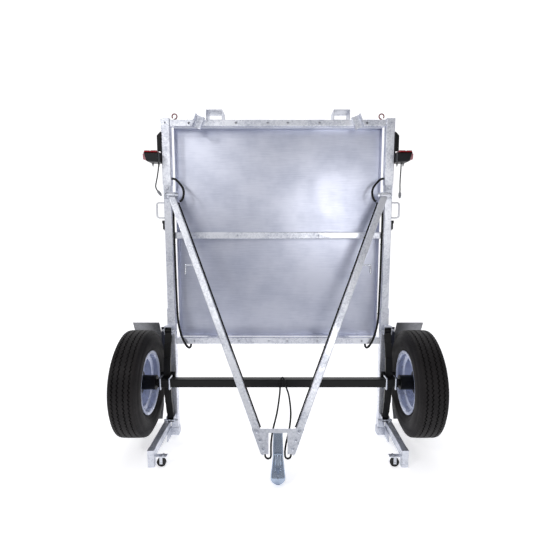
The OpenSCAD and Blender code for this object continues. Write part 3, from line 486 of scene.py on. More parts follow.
@dataclass
class Cables:
    """The loose and the clipped cables."""

    places: Places
    finishes: Finishes
    lead_d: float = 7
    harness_d: float = 13
    draped_d: float = 10
    wire_d: float = 8
    wire_gap: float = 0.3
    wire_top: float = 60
    wire_stop: float = 130
    lead_left: tuple = ((-686, -8, 1659), (-686, -8, 1645), (-690, -9, 1615), (-696, -10, 1580),
                        (-703, -10, 1550), (-707, -10, 1528), (-704, -10, 1512), (-696, -10, 1500))
    lead_right: tuple = ((708, -8, 1659), (708, -8, 1645), (707, -9, 1610), (705, -10, 1570),
                         (705, -10, 1530), (706, -10, 1508), (706, -10, 1492))
    harness: tuple = ((606, 1, 1454), (606, 0, 1435), (609, -2, 1400), (611, -4, 1350), (611, -4, 1250),
                      (610, -3, 1150), (610, 0, 1000), (609, 4, 860), (606, 2, 760), (598, -4, 700),
                      (585, -10, 650), (568, -14, 605), (552, -8, 575), (542, 4, 562), (536, 16, 564),
                      (534, 25, 576), (534, 25, 582.6))
    loop: tuple = ((618.1, 22, 1572), (609, 22, 1572), (594, 17, 1565), (577, 9, 1549), (561, 0, 1531),
                   (549, -12, 1513), (541, -30, 1489), (543, -41, 1463), (553, -42, 1444),
                   (562, -40, 1438))
    draped: tuple = ((-74, 10.8, -1372), (-66, 8, -1385), (-66, 5, -1405), (-61.6, 3, -1415.6), (-51, 0, -1420),
                     (-40.4, -2, -1415.6), (-36, -3, -1405), (-36, -1, -1378), (-35, 21, -1340), (-26, 65, -1287),
                     (-6, 121, -1214), (8, 172, -1130), (12, 209, -1086), (12, 219, -1062), (14, 215, -1045),
                     (26, 227, -1029), (38, 215, -1045), (42, 219, -1062), (48, 209, -1086), (62, 172, -1130),
                     (70, 121, -1214), (60, 65, -1287), (44, 21, -1340), (36, -1, -1378), (36, -3, -1405),
                     (40.4, -2, -1415.6), (51, 0, -1420), (61.6, 3, -1415.6), (66, 5, -1405), (66, 8, -1385),
                     (74, 10.8, -1372))

    def build(self) -> None:
        jacket = self.finishes.slot("cable_jacket")
        for side, route in (("left", self.lead_left), ("right", self.lead_right)):
            line = catmull([self.places.chassis(*p) for p in route], 5)
            draft = Draft()
            draft.tube(line, self.lead_d / 2 * MM)
            lead = draft.done(f"lamp_lead_{side}_jacket", jacket, "chassis", "cable_jacket",
                              (f"lamp_lead_{side}",))
            plug = self.plug(side, line)
        line = catmull([self.places.tongue(*p) for p in self.draped], 4)
        draft = Draft()
        draft.tube(line, self.draped_d / 2 * MM)
        cable = draft.done("draped_cable", jacket, "tongue", "cable_jacket", ("tongue_cable",))
        for name, node, route, cuts, sides in (
                ("clipped_harness", "rail_harness", self.harness, 5, 14),
                ("pivot_cable_loops", "pivot_loops", self.loop, 6, 18)):
            draft = Draft()
            for side in (-1, 1):
                line = catmull([self.places.chassis(side * x, y, z) for x, y, z in route], cuts)
                draft.tube(line, self.harness_d / 2 * MM, sides)
            draft.done(name, jacket, "chassis", "cable_jacket", (node,))
        draft = Draft()
        for side in (-1, 1):
            draft.tube(self.wire(side), self.wire_d / 2 * MM)
        draft.done("clipped_wires", jacket, "tongue", "cable_jacket", ("tongue_wires",))

    def wire(self, side: int) -> list[Vector]:
        """Gives the line of the wire clipped inside one tongue tube.

        Args:
            side: -1 for the left tube, 1 for the right one.

        Returns:
            The line's points, from the pivot end down.
        """
        tube = Places.tube
        off = tube.width / 2 + self.wire_d / 2 + self.wire_gap
        lean, start, stop = tube.angle, self.wire_top, tube.length - self.wire_stop
        line = []
        for k in range(25):
            s = start + (stop - start) * k / 24
            sag = 0.25 * (1 - math.cos(2 * math.pi * k / 8))
            x = tube.pivot_x - (off + sag) * math.cos(lean) - s * math.sin(lean)
            z = (off + sag) * math.sin(lean) - s * math.cos(lean)
            line.append(self.places.tongue(side * x, 0, z))
        return line

    def plug(self, side: str, line: list[Vector]) -> bpy.types.Object:
        """Makes a two-pole connector on the end of a lead.

        Args:
            side: left or right.
            line: The lead's centre line.

        Returns:
            The connector.
        """
        end = line[-1]
        last = end - line[-2]
        way = Vector((last.x, 0, last.z)).normalized()
        deep = Vector((0, 1, 0))
        across = deep.cross(way).normalized()
        round_off = 1.2

        def section(half_w: float, half_d: float, at: float) -> list[Vector]:
            """Gives one section of the connector, with its corners cut off."""
            corners = []
            for sx, sy in ((1, 1), (-1, 1), (-1, -1), (1, -1)):
                first, second = (half_w, half_d - round_off), (half_w - round_off, half_d)
                (c, d), (a, b) = (first, second) if sx * sy > 0 else (second, first)
                corners += [(sx * c, sy * d), (sx * a, sy * b)]
            return [end + (across * x + deep * y + way * at) * MM for x, y in corners]

        draft = Draft()
        draft.loft([section(w, d, at) for w, d, at in (
            (4, 3.6, 0.2), (5.2, 4.6, 1), (7, 6, 3), (7, 6, 8), (6.2, 5.2, 8.6), (6.2, 5.2, 10.4),
            (7, 6, 11), (7, 6, 25.2), (5.2, 4.2, 26), (5, 4, 33.4), (4.2, 3.2, 34))])
        return draft.done(f"lamp_plug_{side}", self.finishes.slot("grey_plug"), "chassis",
                          "grey_plug", ("lamp_plugs",))


# ---------------------------------------------------------------- wheels


@dataclass
class Tyre:
    """A narrow trailer tyre with four zig-zag grooves and ribbed sidewalls."""

    places: Places
    finishes: Finishes
    radius: float = 305
    bead_r: float = 165.4
    flange_r: float = 183
    rim_w: float = 127
    width: float = 174
    tread_w: float = 125
    wall: float = 9
    groove_w: float = 7
    groove_depth: float = 8
    zigzag: float = 4.5
    zigzags: int = 80
    notch: float = 2.5
    crown: float = 2.2
    grooves: tuple = (-44, -16, 16, 44)

    def half_wall(self, inset: float, steps: int) -> list[tuple[float, float]]:
        """Gives the sidewall's points from the bead out to the shoulder.

        Args:
            inset: How far the points lie inside the outer skin.
            steps: How many spans there are.

        Returns:
            Points of radius and distance from the middle plane, in millimetres.
        """
        r0, r1 = self.flange_r + 4, self.radius - 10
        x0, x1 = self.rim_w / 2 - 3 - inset, self.tread_w / 2 + 6 - inset
        bulge = self.width / 2 - (self.rim_w + self.tread_w + 6) / 4
        return [(r0 + (r1 - r0 - inset) * a, x0 + (x1 - x0) * a + bulge * math.sin(math.pi * a))
                for a in (k / steps for k in range(steps + 1))]

    def profile(self, turn: float) -> list[tuple[float, float]]:
        """Gives the closed section at one place round the tyre.

        Args:
            turn: The place, in zig-zags.

        Returns:
            Points of radius and distance from the middle plane, in millimetres.
        """
        saw = abs((turn % 1) * 4 - 2) - 1
        notch = self.notch if (turn % 1) > 0.5 else 0.0
        ribs = {6: 1.2, 7: 1.2, 12: 0.8, 14: 0.8, 19: 1.5, 20: 1.5}
        outside = [(r, x - ribs.get(k, 0)) for k, (r, x) in enumerate(self.half_wall(0, 24))]
        outside[-1] = (outside[-1][0] - notch, outside[-1][1])
        outside = [(self.bead_r, self.rim_w / 2 - 6)] + outside
        outside += [(self.radius - 4 - notch, self.tread_w / 2 + 3),
                    (self.radius - 2.5, self.tread_w / 2 - 1)]
        tread = []
        for centre in reversed(self.grooves):
            middle = centre + self.zigzag * saw
            for x, down in ((self.groove_w / 2, 0), (self.groove_w / 4, self.groove_depth),
                            (-self.groove_w / 4, self.groove_depth), (-self.groove_w / 2, 0)):
                crown = self.crown * (centre / (self.tread_w / 2)) ** 2
                tread.append((self.radius - crown - down, middle + x))
        other = [(r, -x) for r, x in reversed(outside)]
        inner = [(self.bead_r - 0.2, self.rim_w / 2 - 6 - 1.6 * self.wall)]
        inner += self.half_wall(self.wall, 8)
        liner = [(r, -x) for r, x in inner] + list(reversed(inner))
        return outside + tread + other + liner

    def build(self, side: int) -> None:
        """Makes one tyre.

        Args:
            side: -1 for the left wheel, 1 for the right one.
        """
        name = "left" if side < 0 else "right"
        centre = Vector(self.places.joints[f"wheel_spin_{name}"]["pos_m"])
        steps = self.zigzags * 4
        rings = []
        for k in range(steps):
            a = 2 * math.pi * k / steps
            rings.append([centre + Vector((side * x, -r * math.sin(a), r * math.cos(a))) * MM
                          for r, x in self.profile(k / 4)])
        draft = Draft()
        draft.loft(rings, around=True)
        draft.done(f"tyre_{name}_moulded", self.finishes.slot("tyre"), f"wheel_{name}", "tyre",
                   (f"tyre_{name}",), angle=50)


# ---------------------------------------------------------------- coupler, lamps and handles


@dataclass
class Coupler:
    """The pressed coupler: a channel with an embossed web and a round nose."""

    places: Places
    finishes: Finishes
    reach: float = 1541.93
    length: float = 250
    rear_half: float = 24
    nose_half: float = 38
    front: float = 29.05
    back: float = 16.95
    steel: float = 4
    straight: float = 120
    widening: float = 3
    pin_up: float = 150
    pin_out: float = 4.7
    socket_r: float = 26.2
    block_r: float = 34.5

    def across_pin(self) -> tuple[float, float]:
        """Gives the lever pin's distance below the pivots and its depth, in millimetres."""
        return self.reach - self.pin_up, -self.front - self.pin_out

    def half(self, s: float) -> float:
        """Gives half the channel's width.

        Args:
            s: The distance below the pivots, in millimetres.

        Returns:
            Half the width, in millimetres.
        """
        nose = self.reach - self.nose_half
        flare = self.reach - self.length + self.straight
        if s <= flare:
            return self.rear_half + self.widening * (s - flare + self.straight) / self.straight
        if s <= nose:
            wide = self.rear_half + self.widening
            return wide + (self.nose_half - wide) * (s - flare) / (nose - flare)
        return math.sqrt(max(self.nose_half ** 2 - (s - nose) ** 2, 1.0))

    def web(self, x: float, s: float) -> float:
        """Gives how far the web lies back from its frontmost plane.

        Args:
            x: The place across the channel, in millimetres.
            s: The distance below the pivots, in millimetres.

        Returns:
            The depth, in millimetres.
        """
        nose = self.reach - self.nose_half
        wide = self.half(s)
        back = 2.2 if abs(x) < wide - 11 and s < nose - 26 else 0.0
        # A raised V that opens towards the rear, with a short rib in its middle
        arms = abs(abs(x) - (4 + 0.12 * (nose + 8 - s)))
        if nose - 92 < s < nose + 10 and arms < 3.2:
            back = 0.0
        elif nose - 92 < s < nose + 8 and abs(x) < 3 + 0.12 * (nose + 8 - s):
            back = 3.2 if abs(x) > 2.6 or s < nose - 44 else 0.8
        if s > nose:
            back += 15 * ((s - nose) / self.nose_half) ** 2.4
        return back

    def section(self, s: float) -> list[Vector]:
        """Gives one closed U-shaped section of the channel.

        Args:
            s: The distance below the pivots, in millimetres.

        Returns:
            The section's points.
        """
        wide, count = self.half(s), 28
        curl = min(9.0, wide * 0.6)
        flat = wide - curl
        outer = [(-wide, self.back)]
        for k in range(7):
            a = math.pi / 2 * k / 6
            outer.append((-flat - curl * math.cos(a),
                          -self.front + self.web(-flat, s) + curl * (1 - math.sin(a))))
        for k in range(1, count):
            x = -flat + 2 * flat * k / count
            outer.append((x, -self.front + self.web(x, s)))
        outer += [(-x, y) for x, y in reversed(outer[:8])]
        closed = s > self.reach - self.nose_half + 20
        inner = []
        for x, y in reversed(outer):
            if closed:
                inner.append((x * 0.98, self.back - 0.5))
            else:
                inner.append((math.copysign(max(abs(x) - self.steel, 0), x),
                              min(y + self.steel, self.back)))
        return [self.places.tongue(x, y, -s) for x, y in outer + inner]

    def build(self) -> None:
        """Makes the channel, its latch ears with their pin, and the lever."""
        zinc = self.finishes.slot("blue_zinc")
        rear, nose = self.reach - self.length, self.reach - self.nose_half
        stops = [rear + 0.2 + (nose - rear) * k / 70 for k in range(71)]
        stops += [nose + (self.nose_half - 0.4) * math.sin(math.pi / 2 * k / 14)
                  for k in range(1, 15)]
        draft = Draft()
        draft.loft([self.section(s) for s in stops])
        # The block round the ball socket, seen from behind
        low, high = -self.back + 0.6, self.front - 9
        outline = ((self.socket_r, low), (self.block_r, low), (self.block_r, high),
                   (self.socket_r, high))
        centre = self.places.tongue(0, 0, -nose)
        axis = self.places.tongue(0, -1, -nose) - centre
        draft.turn([(r * MM, h * MM) for r, h in outline], centre, axis, 48)
        draft.done("coupler_pressing", zinc, "tongue", "blue_zinc", ("coupler_body",), angle=28)
        self.ears(zinc)
        self.lever(zinc)

    def ears(self, zinc: bpy.types.Material) -> None:
        """Makes the two ears and the pivot pin of the lever.

        Args:
            zinc: Their finish.
        """
        draft = Draft()
        s, off = self.across_pin()
        near, far = 15.6, 19
        for side in (-1, 1):
            outline = [self.places.tongue(side * near, y, -s + z) for y, z in (
                (-self.front + 0.5, -6), (-self.front + 0.5, 6), (off, 4.3), (off - 3, 3),
                (off - 4.2, 0), (off - 3, -3), (off, -4.3))]
            along = self.places.tongue(side * far, 0, -s) - self.places.tongue(side * near, 0, -s)
            draft.prism(outline, along, 0.4 * MM)
        ends = [self.places.tongue(x, off, -s) for x in (-20.4, -20, 20, 20.4)]
        draft.tube(ends, [1.8 * MM, 2.5 * MM, 2.5 * MM, 1.8 * MM], 16)
        draft.done("lever_ears", zinc, "tongue", "blue_zinc", ("coupler_body",))

    def lever(self, zinc: bpy.types.Material) -> None:
        """Makes the lever: a ribbed strip with a curled grip.

        Args:
            zinc: Its finish.
        """
        draft = Draft()
        s, off = self.across_pin()
        rings = []
        for k in range(32):
            down = -4 + 66 * k / 31
            curl = max(0.0, (down - 48) / 14)
            lift = 2.6 - 4.8 * curl ** 2
            wide = 14.6 - 2.2 * math.sin(math.pi * min(max(down, 0) / 50, 1))
            rib = 1.5 if 8 < down < 46 else 0.0
            half = [(4, lift - 3 - rib), (5.5, lift - 3), (wide - 2, lift - 3), (wide, lift - 1.2),
                    (wide, lift + 1.5)]
            line = [(-x, y) for x, y in reversed(half)] + half
            rings.append([self.places.tongue(x, off + y, -s - down) for x, y in line])
        draft.loft(rings)
        draft.done("coupler_lever", zinc, "latch_lever", "blue_zinc", ("coupler_latch",), angle=30)


@dataclass
class Fittings:
    """Tail lamps and side handles."""

    places: Places
    finishes: Finishes
    lamp_x: float = 673
    lamp_top: float = 1720
    lamp_w: float = 80
    lamp_h: float = 50
    lamp_depth: float = 112
    sleeve: float = 50.8
    handle_z: float = 1340
    handle_len: float = 100
    handle_out: float = 54
    rail_x: float = 670
    rail_half: float = 22.1
    grip_r: float = 6
    grip_corner: float = 14

    def block(self, draft: Draft, side: int, outline: tuple, y0: float, y1: float,
              bevel: float) -> None:
        """Adds a bevelled block whose outline lies across the chassis.

        Args:
            draft: The piece that takes the block.
            side: -1 for the left, 1 for the right.
            outline: Points of X, measured outward, and height.
            y0: Its near face.
            y1: Its far face.
            bevel: The chamfer of its rims.
        """
        near = [self.places.chassis(side * x, y0, z) for x, z in outline]
        draft.prism(near, Vector((0, (y1 - y0) * MM, 0)), bevel * MM)

    def lamps(self) -> None:
        """Makes both tail lamps: shell, two-part red lens and rose side marker."""
        x, w = self.lamp_x, self.lamp_w
        z1 = self.lamp_top - 10
        z0 = z1 - self.lamp_h
        near, far = self.sleeve - self.lamp_depth, self.sleeve
        shell, lens, marker = Draft(), Draft(), Draft()
        for side in (-1, 1):
            self.block(shell, side, (
                (x + 3, z0), (x + w - 16, z0), (x + w - 11, z0 + 4), (x + w, z1 - 4), (x + w - 1, z1),
                (x + 1, z1), (x, z1 - 3), (x, z0 + 3)), near, far, 3)
            self.block(shell, side, (
                (x + 2, z1 - 6), (x + w + 1.5, z1 - 6), (x + w + 1.5, z1 - 1), (x + 2, z1 - 1)),
                near, far, 1)
            # The two mounting studs below the shell, each with its nut
            for at in (x + 15, x + 50):
                top = self.places.chassis(side * at, 6, z0 + 1)
                low = self.places.chassis(side * at, 6, z0 - 20)
                shell.tube([low, low.lerp(top, 0.05), top], [2.2 * MM, 3 * MM, 3 * MM], 16)
                nut = [self.places.chassis(side * at + 5.5 * math.cos(k * math.pi / 3),
                                           6 + 5.5 * math.sin(k * math.pi / 3), z0 - 9) for k in range(6)]
                shell.prism(nut, Vector((0, 0, 5 * MM)), 0.4 * MM)
            self.block(lens, side, (
                (x + 6, z1 - 1), (x + 44, z1 - 1), (x + 44, z1 + 7), (x + 41, z1 + 10),
                (x + 9, z1 + 10), (x + 6, z1 + 7)), near + 1, far - 1, 2)
            self.block(lens, side, (
                (x + 46, z1 - 1), (x + w, z1 - 1), (x + w, z1 + 6), (x + w - 4, z1 + 9.5),
                (x + 49, z1 + 9.5), (x + 46, z1 + 7)), near + 1, far - 1, 2)
            self.block(marker, side, (
                (x + w - 12.5, z0 + 8), (x + w - 8, z0 + 6), (x + w + 10, z0 + 12),
                (x + w + 11, z1 - 8), (x + w + 8, z1 - 5), (x + w - 1.5, z1 - 5)),
                near + 10, far - 10, 4)
        for draft, name, slot, node in (
                (shell, "tail_lamp_shells", "lamp_shell", "tail_lamp_housings"),
                (lens, "tail_lamp_red_lenses", "red_lens", "tail_lamp_lenses"),
                (marker, "side_marker_lenses", "marker_lens", "marker_lenses")):
            draft.done(name, self.finishes.slot(slot), "chassis", slot, (node,))

    def handles(self) -> None:
        """Makes both handles: a bent grip with round corners, flanges and screws."""
        # The flanges reach a hair into the rail's side, so that no gap shows
        rail_side = self.rail_x - self.sleeve / 2 + self.rail_half - 0.1
        out = rail_side + self.handle_out - self.grip_r
        z0 = self.handle_z + self.grip_r
        z1 = self.handle_z + self.handle_len - self.grip_r
        corner = self.grip_corner
        grip, screws = Draft(), Draft()
        for side in (-1, 1):
            line = [(rail_side, z0), (out - corner, z0)]
            line += [(out - corner + corner * math.sin(a), z0 + corner - corner * math.cos(a))
                     for a in (math.pi / 2 * k / 8 for k in range(1, 9))]
            line += [(out, (z0 + z1) / 2)]
            line += [(x, z0 + z1 - z) for x, z in reversed(line[:-1])]
            points = [self.places.chassis(side * x, self.sleeve / 2, z) for x, z in line]
            radii = [(self.grip_r if abs(z - (z0 + z1) / 2) < 36 else 5.2) * MM for _, z in line]
            grip.tube(points, radii, 20)
            for z in (z0, z1):
                base = self.places.chassis(side * rail_side, self.sleeve / 2, z)
                way = Vector((side, 0, 0))
                grip.tube([base, base + way * 2.4 * MM, base + way * 3 * MM],
                          [11 * MM, 11 * MM, 10 * MM], 28)
                for dy in (-8, 8):
                    spot = base + Vector((side * 2.6 * MM, dy * MM, 0))
                    screws.tube([spot, spot + way * MM, spot + way * 1.6 * MM],
                                [2.2 * MM, 2.2 * MM, 1.2 * MM], 12)
        grip.done("handle_grips", self.finishes.slot("light_handle"), "chassis", "light_handle",
                  ("side_handles",))
        screws.done("handle_screws", self.finishes.slot("zinc_fasteners"), "chassis",
                    "zinc_fasteners")


# ---------------------------------------------------------------- repeated pieces


class Repeats:
    """Small repeated pieces, set out by Geometry Nodes with a fixed seed."""

    SEED = 11
    BOLT_PITCH = 42
    LAMP_PITCH = 0.15
    BEAD_PITCH = 0.0115
    RIVET_X = 0.02
    RIVET_Z = 0.018
    RIVET_GAPS = 12
    TIE_PITCH = 0.19

    def __init__(self, places: Places, finishes: Finishes) -> None:
        """Builds the two trees.

        Args:
            places: Where things are.
            finishes: The finishes.
        """
        self.places = places
        self.finishes = finishes
        self.studs = self.stud_tree()
        self.bands = self.band_tree()

    @staticmethod
    def opened(name: str, sockets: dict[str, str]) -> tuple[bpy.types.NodeTree, dict]:
        """Starts a tree with named inputs.

        Args:
            name: The tree's name.
            sockets: Each input's name and socket type.

        Returns:
            The tree and the group's input sockets by name.
        """
        tree = bpy.data.node_groups.new(name, "GeometryNodeTree")
        tree.is_modifier = True
        tree.interface.new_socket("Geometry", in_out="OUTPUT", socket_type="NodeSocketGeometry")
        tree.interface.new_socket("Places", in_out="INPUT", socket_type="NodeSocketGeometry")
        for label, kind in sockets.items():
            tree.interface.new_socket(label, in_out="INPUT", socket_type=kind)
        given = add_node(tree, "NodeGroupInput").outputs
        return tree, {socket.name: socket for socket in given if socket.name}

    @staticmethod
    def closed(tree: bpy.types.NodeTree, shape: bpy.types.NodeSocket,
               finish: bpy.types.NodeSocket) -> None:
        """Ends a tree: makes the instances real and gives them their material.

        Args:
            tree: The tree.
            shape: The instances.
            finish: The material.
        """
        real = add_node(tree, "GeometryNodeRealizeInstances", None, {0: shape})
        dressed = add_node(tree, "GeometryNodeSetMaterial", None, {
            "Geometry": real.outputs[0], "Material": finish})
        add_node(tree, "NodeGroupOutput", None, {0: dressed.outputs[0]})

    def stud_tree(self) -> bpy.types.NodeTree:
        """Makes the tree that sets a headed stud on every point."""
        tree, given = self.opened("studs_on_points", {
            "Radius": "NodeSocketFloat", "Height": "NodeSocketFloat", "Taper": "NodeSocketFloat",
            "Washer": "NodeSocketFloat", "Sides": "NodeSocketInt", "Tilt": "NodeSocketVector",
            "Seed": "NodeSocketInt", "Finish": "NodeSocketMaterial"})
        crown = add_node(tree, "ShaderNodeMath", {"operation": "MULTIPLY"}, {
            0: given["Radius"], 1: given["Taper"]})
        flat = add_node(tree, "ShaderNodeMath", {"operation": "MULTIPLY"}, {
            0: given["Height"], 1: 0.75})
        head = add_node(tree, "GeometryNodeMeshCone", None, {
            "Vertices": given["Sides"], "Radius Top": given["Radius"],
            "Radius Bottom": given["Radius"], "Depth": flat.outputs[0]})
        rim = add_node(tree, "GeometryNodeMeshCone", None, {
            "Vertices": given["Sides"], "Radius Top": crown.outputs[0],
            "Radius Bottom": given["Radius"], "Depth": add_node(tree, "ShaderNodeMath", {"operation": "MULTIPLY"}, {
                0: given["Height"], 1: 0.25}).outputs[0]})
        lifted = add_node(tree, "GeometryNodeTransform", None, {
            "Geometry": rim.outputs["Mesh"], "Translation": add_node(
                tree, "ShaderNodeCombineXYZ", None, {"Z": flat.outputs[0]}).outputs[0]})
        washer = add_node(tree, "GeometryNodeMeshCylinder", None, {
            "Vertices": 28, "Radius": given["Washer"], "Depth": add_node(
                tree, "ShaderNodeMath", {"operation": "MULTIPLY"}, {0: given["Height"], 1: 0.4}).outputs[0]})
        both = add_node(tree, "GeometryNodeJoinGeometry", None, {0: head.outputs["Mesh"]})
        tree.links.new(lifted.outputs[0], both.inputs[0])
        tree.links.new(washer.outputs["Mesh"], both.inputs[0])
        turn = add_node(tree, "FunctionNodeRandomValue", {"data_type": "FLOAT"}, {
            2: 0.0, 3: 2 * math.pi, "Seed": given["Seed"]})
        spin = add_node(tree, "ShaderNodeCombineXYZ", None, {"Z": turn.outputs[1]})
        placed = add_node(tree, "GeometryNodeInstanceOnPoints", None, {
            "Points": given["Places"], "Instance": both.outputs[0], "Rotation": given["Tilt"]})
        turned = add_node(tree, "GeometryNodeRotateInstances", None, {
            "Instances": placed.outputs[0], "Rotation": spin.outputs[0]})
        self.closed(tree, turned.outputs[0], given["Finish"])
        return tree

    def band_tree(self) -> bpy.types.NodeTree:
        """Makes the tree that sets cable ties along a line."""
        tree, given = self.opened("ties_along_line", {
            "Spacing": "NodeSocketFloat", "Radius": "NodeSocketFloat", "Width": "NodeSocketFloat",
            "Seed": "NodeSocketInt", "Finish": "NodeSocketMaterial"})
        curve = add_node(tree, "GeometryNodeMeshToCurve", None, {0: given["Places"]})
        spots = add_node(tree, "GeometryNodeCurveToPoints", {"mode": "LENGTH"}, {
            "Curve": curve.outputs[0], "Length": given["Spacing"]})
        band = add_node(tree, "GeometryNodeMeshCylinder", None, {
            "Vertices": 24, "Radius": given["Radius"], "Depth": given["Width"]})
        # The tie's square lock, 3.5 by 5 by 6 mm
        lock = add_node(tree, "GeometryNodeMeshCube", None, {"Size": (3.5 * MM, 5 * MM, 6 * MM)})
        moved = add_node(tree, "GeometryNodeTransform", None, {
            "Geometry": lock.outputs["Mesh"], "Translation": add_node(
                tree, "ShaderNodeCombineXYZ", None, {"X": given["Radius"]}).outputs[0]})
        both = add_node(tree, "GeometryNodeJoinGeometry", None, {0: band.outputs["Mesh"]})
        tree.links.new(moved.outputs[0], both.inputs[0])
        turn = add_node(tree, "FunctionNodeRandomValue", {"data_type": "FLOAT"}, {
            2: -0.6, 3: 0.6, "Seed": given["Seed"]})
        spin = add_node(tree, "ShaderNodeCombineXYZ", None, {"Z": turn.outputs[1]})
        placed = add_node(tree, "GeometryNodeInstanceOnPoints", None, {
            "Points": spots.outputs["Points"], "Instance": both.outputs[0],
            "Rotation": spots.outputs["Rotation"]})
        turned = add_node(tree, "GeometryNodeRotateInstances", None, {
            "Instances": placed.outputs[0], "Rotation": spin.outputs[0]})
        self.closed(tree, turned.outputs[0], given["Finish"])
        return tree

    def grown(self, tree: bpy.types.NodeTree, name: str, points: list[Vector],
              edges: list[tuple[int, int]], values: dict, body: str, slot: str,
              replaced: tuple[str, ...] = ()) -> bpy.types.Object:
        """Runs a tree on points and keeps the result as a plain mesh.

        Args:
            tree: The tree.
            name: The piece's name.
            points: The places.
            edges: Pairs of neighbouring places, for a line.
            values: The tree's inputs by name.
            body: The body that the piece moves with.
            slot: Its material slot.
            replaced: The CAD nodes that it stands for.

        Returns:
            The new object.
        """
        seeds = bpy.data.meshes.new(f"{name}_places")
        seeds.from_pydata(points, edges, [])
        carrier = bpy.data.objects.new(f"{name}_places", seeds)
        bpy.context.scene.collection.objects.link(carrier)
        modifier = carrier.modifiers.new("repeats", "NODES")
        modifier.node_group = tree
        values = {**values, "Seed": self.SEED, "Finish": self.finishes.slot(slot)}
        for item in tree.interface.items_tree:
            if item.in_out == "INPUT" and item.name in values:
                modifier[item.identifier] = values[item.name]
        carrier.update_tag()
        graph = bpy.context.evaluated_depsgraph_get()
        data = bpy.data.meshes.new_from_object(carrier.evaluated_get(graph))
        bpy.data.objects.remove(carrier)
        data.name = name
        made = bpy.data.objects.new(name, data)
        bpy.context.scene.collection.objects.link(made)
        return settle(made, body, replaced)

    def build(self, cables: Cables) -> None:
        """Makes the gusset bolts, lamp beads, cabinet rivets and cable ties.

        Args:
            cables: The cables that the ties hold.
        """
        tube = self.places.tube
        spots = []
        for side in (-1, 1):
            for k in range(3):
                s = tube.end - 106 + self.BOLT_PITCH * k
                x = tube.pivot_x - s * math.tan(tube.angle)
                spots.append(self.places.tongue(side * x, -24.05, -s))
        tilt = (math.pi / 2 + self.places.lean, 0, 0)
        self.grown(self.studs, "gusset_bolt_heads", spots, [], {
            "Radius": 8.2 * MM, "Height": 6 * MM, "Taper": 0.72, "Washer": 10.5 * MM, "Sides": 6,
            "Tilt": tilt}, "tongue", "zinc_fasteners", ("gusset_bolts",))
        low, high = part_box("lamp_cabinet")
        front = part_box("lamp_lenses")[1].y - 0.0005
        beads = []
        middle = (low.z + high.z) / 2
        spread = [(i, 0) for i in range(-3, 4)]
        spread += [(a * (3 - k), b * k) for a in (-1, 1) for k in (1, 2) for b in (-1, 1)]
        for i, j in spread:
            for ring in range(5):
                count = max(1, 6 * ring)
                for k in range(count):
                    a, r = 2 * math.pi * k / count, self.BEAD_PITCH * ring
                    beads.append(Vector((i * self.LAMP_PITCH + r * math.cos(a), front,
                                         middle + j * self.LAMP_PITCH + r * math.sin(a))))
        self.grown(self.studs, "lens_beads", beads, [], {
            "Radius": 5.2 * MM, "Height": 3 * MM, "Taper": 0.45, "Washer": 5.6 * MM, "Sides": 10,
            "Tilt": (-math.pi / 2, 0, 0)}, "board", "amber_lens")
        rivets = []
        left, right = low.x + self.RIVET_X, high.x - self.RIVET_X
        foot, head = low.z + self.RIVET_Z, high.z - self.RIVET_Z
        for k in range(self.RIVET_GAPS + 1):
            x = left + (right - left) * k / self.RIVET_GAPS
            rivets += [Vector((x, high.y, z)) for z in (foot, head)]
        for k in range(1, self.RIVET_GAPS):
            z = foot + (head - foot) * k / self.RIVET_GAPS
            rivets += [Vector((x, high.y, z)) for x in (left, right)]
        self.grown(self.studs, "cabinet_rivets", rivets, [], {
            "Radius": 3.6 * MM, "Height": 1.8 * MM, "Taper": 0.5, "Washer": 4.4 * MM, "Sides": 14,
            "Tilt": (-math.pi / 2, 0, 0)}, "board", "board_black")
        for name, body, radius, lines in (
                ("harness_ties", "chassis", cables.harness_d / 2, [
                    [self.places.chassis(side * x, y, z) for x, y, z in cables.harness[2:-4]]
                    for side in (-1, 1)]),
                ("wire_ties", "tongue", cables.wire_d / 2,
                 [cables.wire(side) for side in (-1, 1)])):
            points, edges = [], []
            for line in lines:
                fine = catmull(line, 4)
                edges += [(len(points) + k, len(points) + k + 1) for k in range(len(fine) - 1)]
                points += fine
            self.grown(self.bands, name, points, edges, {
                "Spacing": self.TIE_PITCH, "Radius": (radius + 1.1) * MM, "Width": 4.4 * MM},
                body, "cable_jacket")


# ---------------------------------------------------------------- light and camera


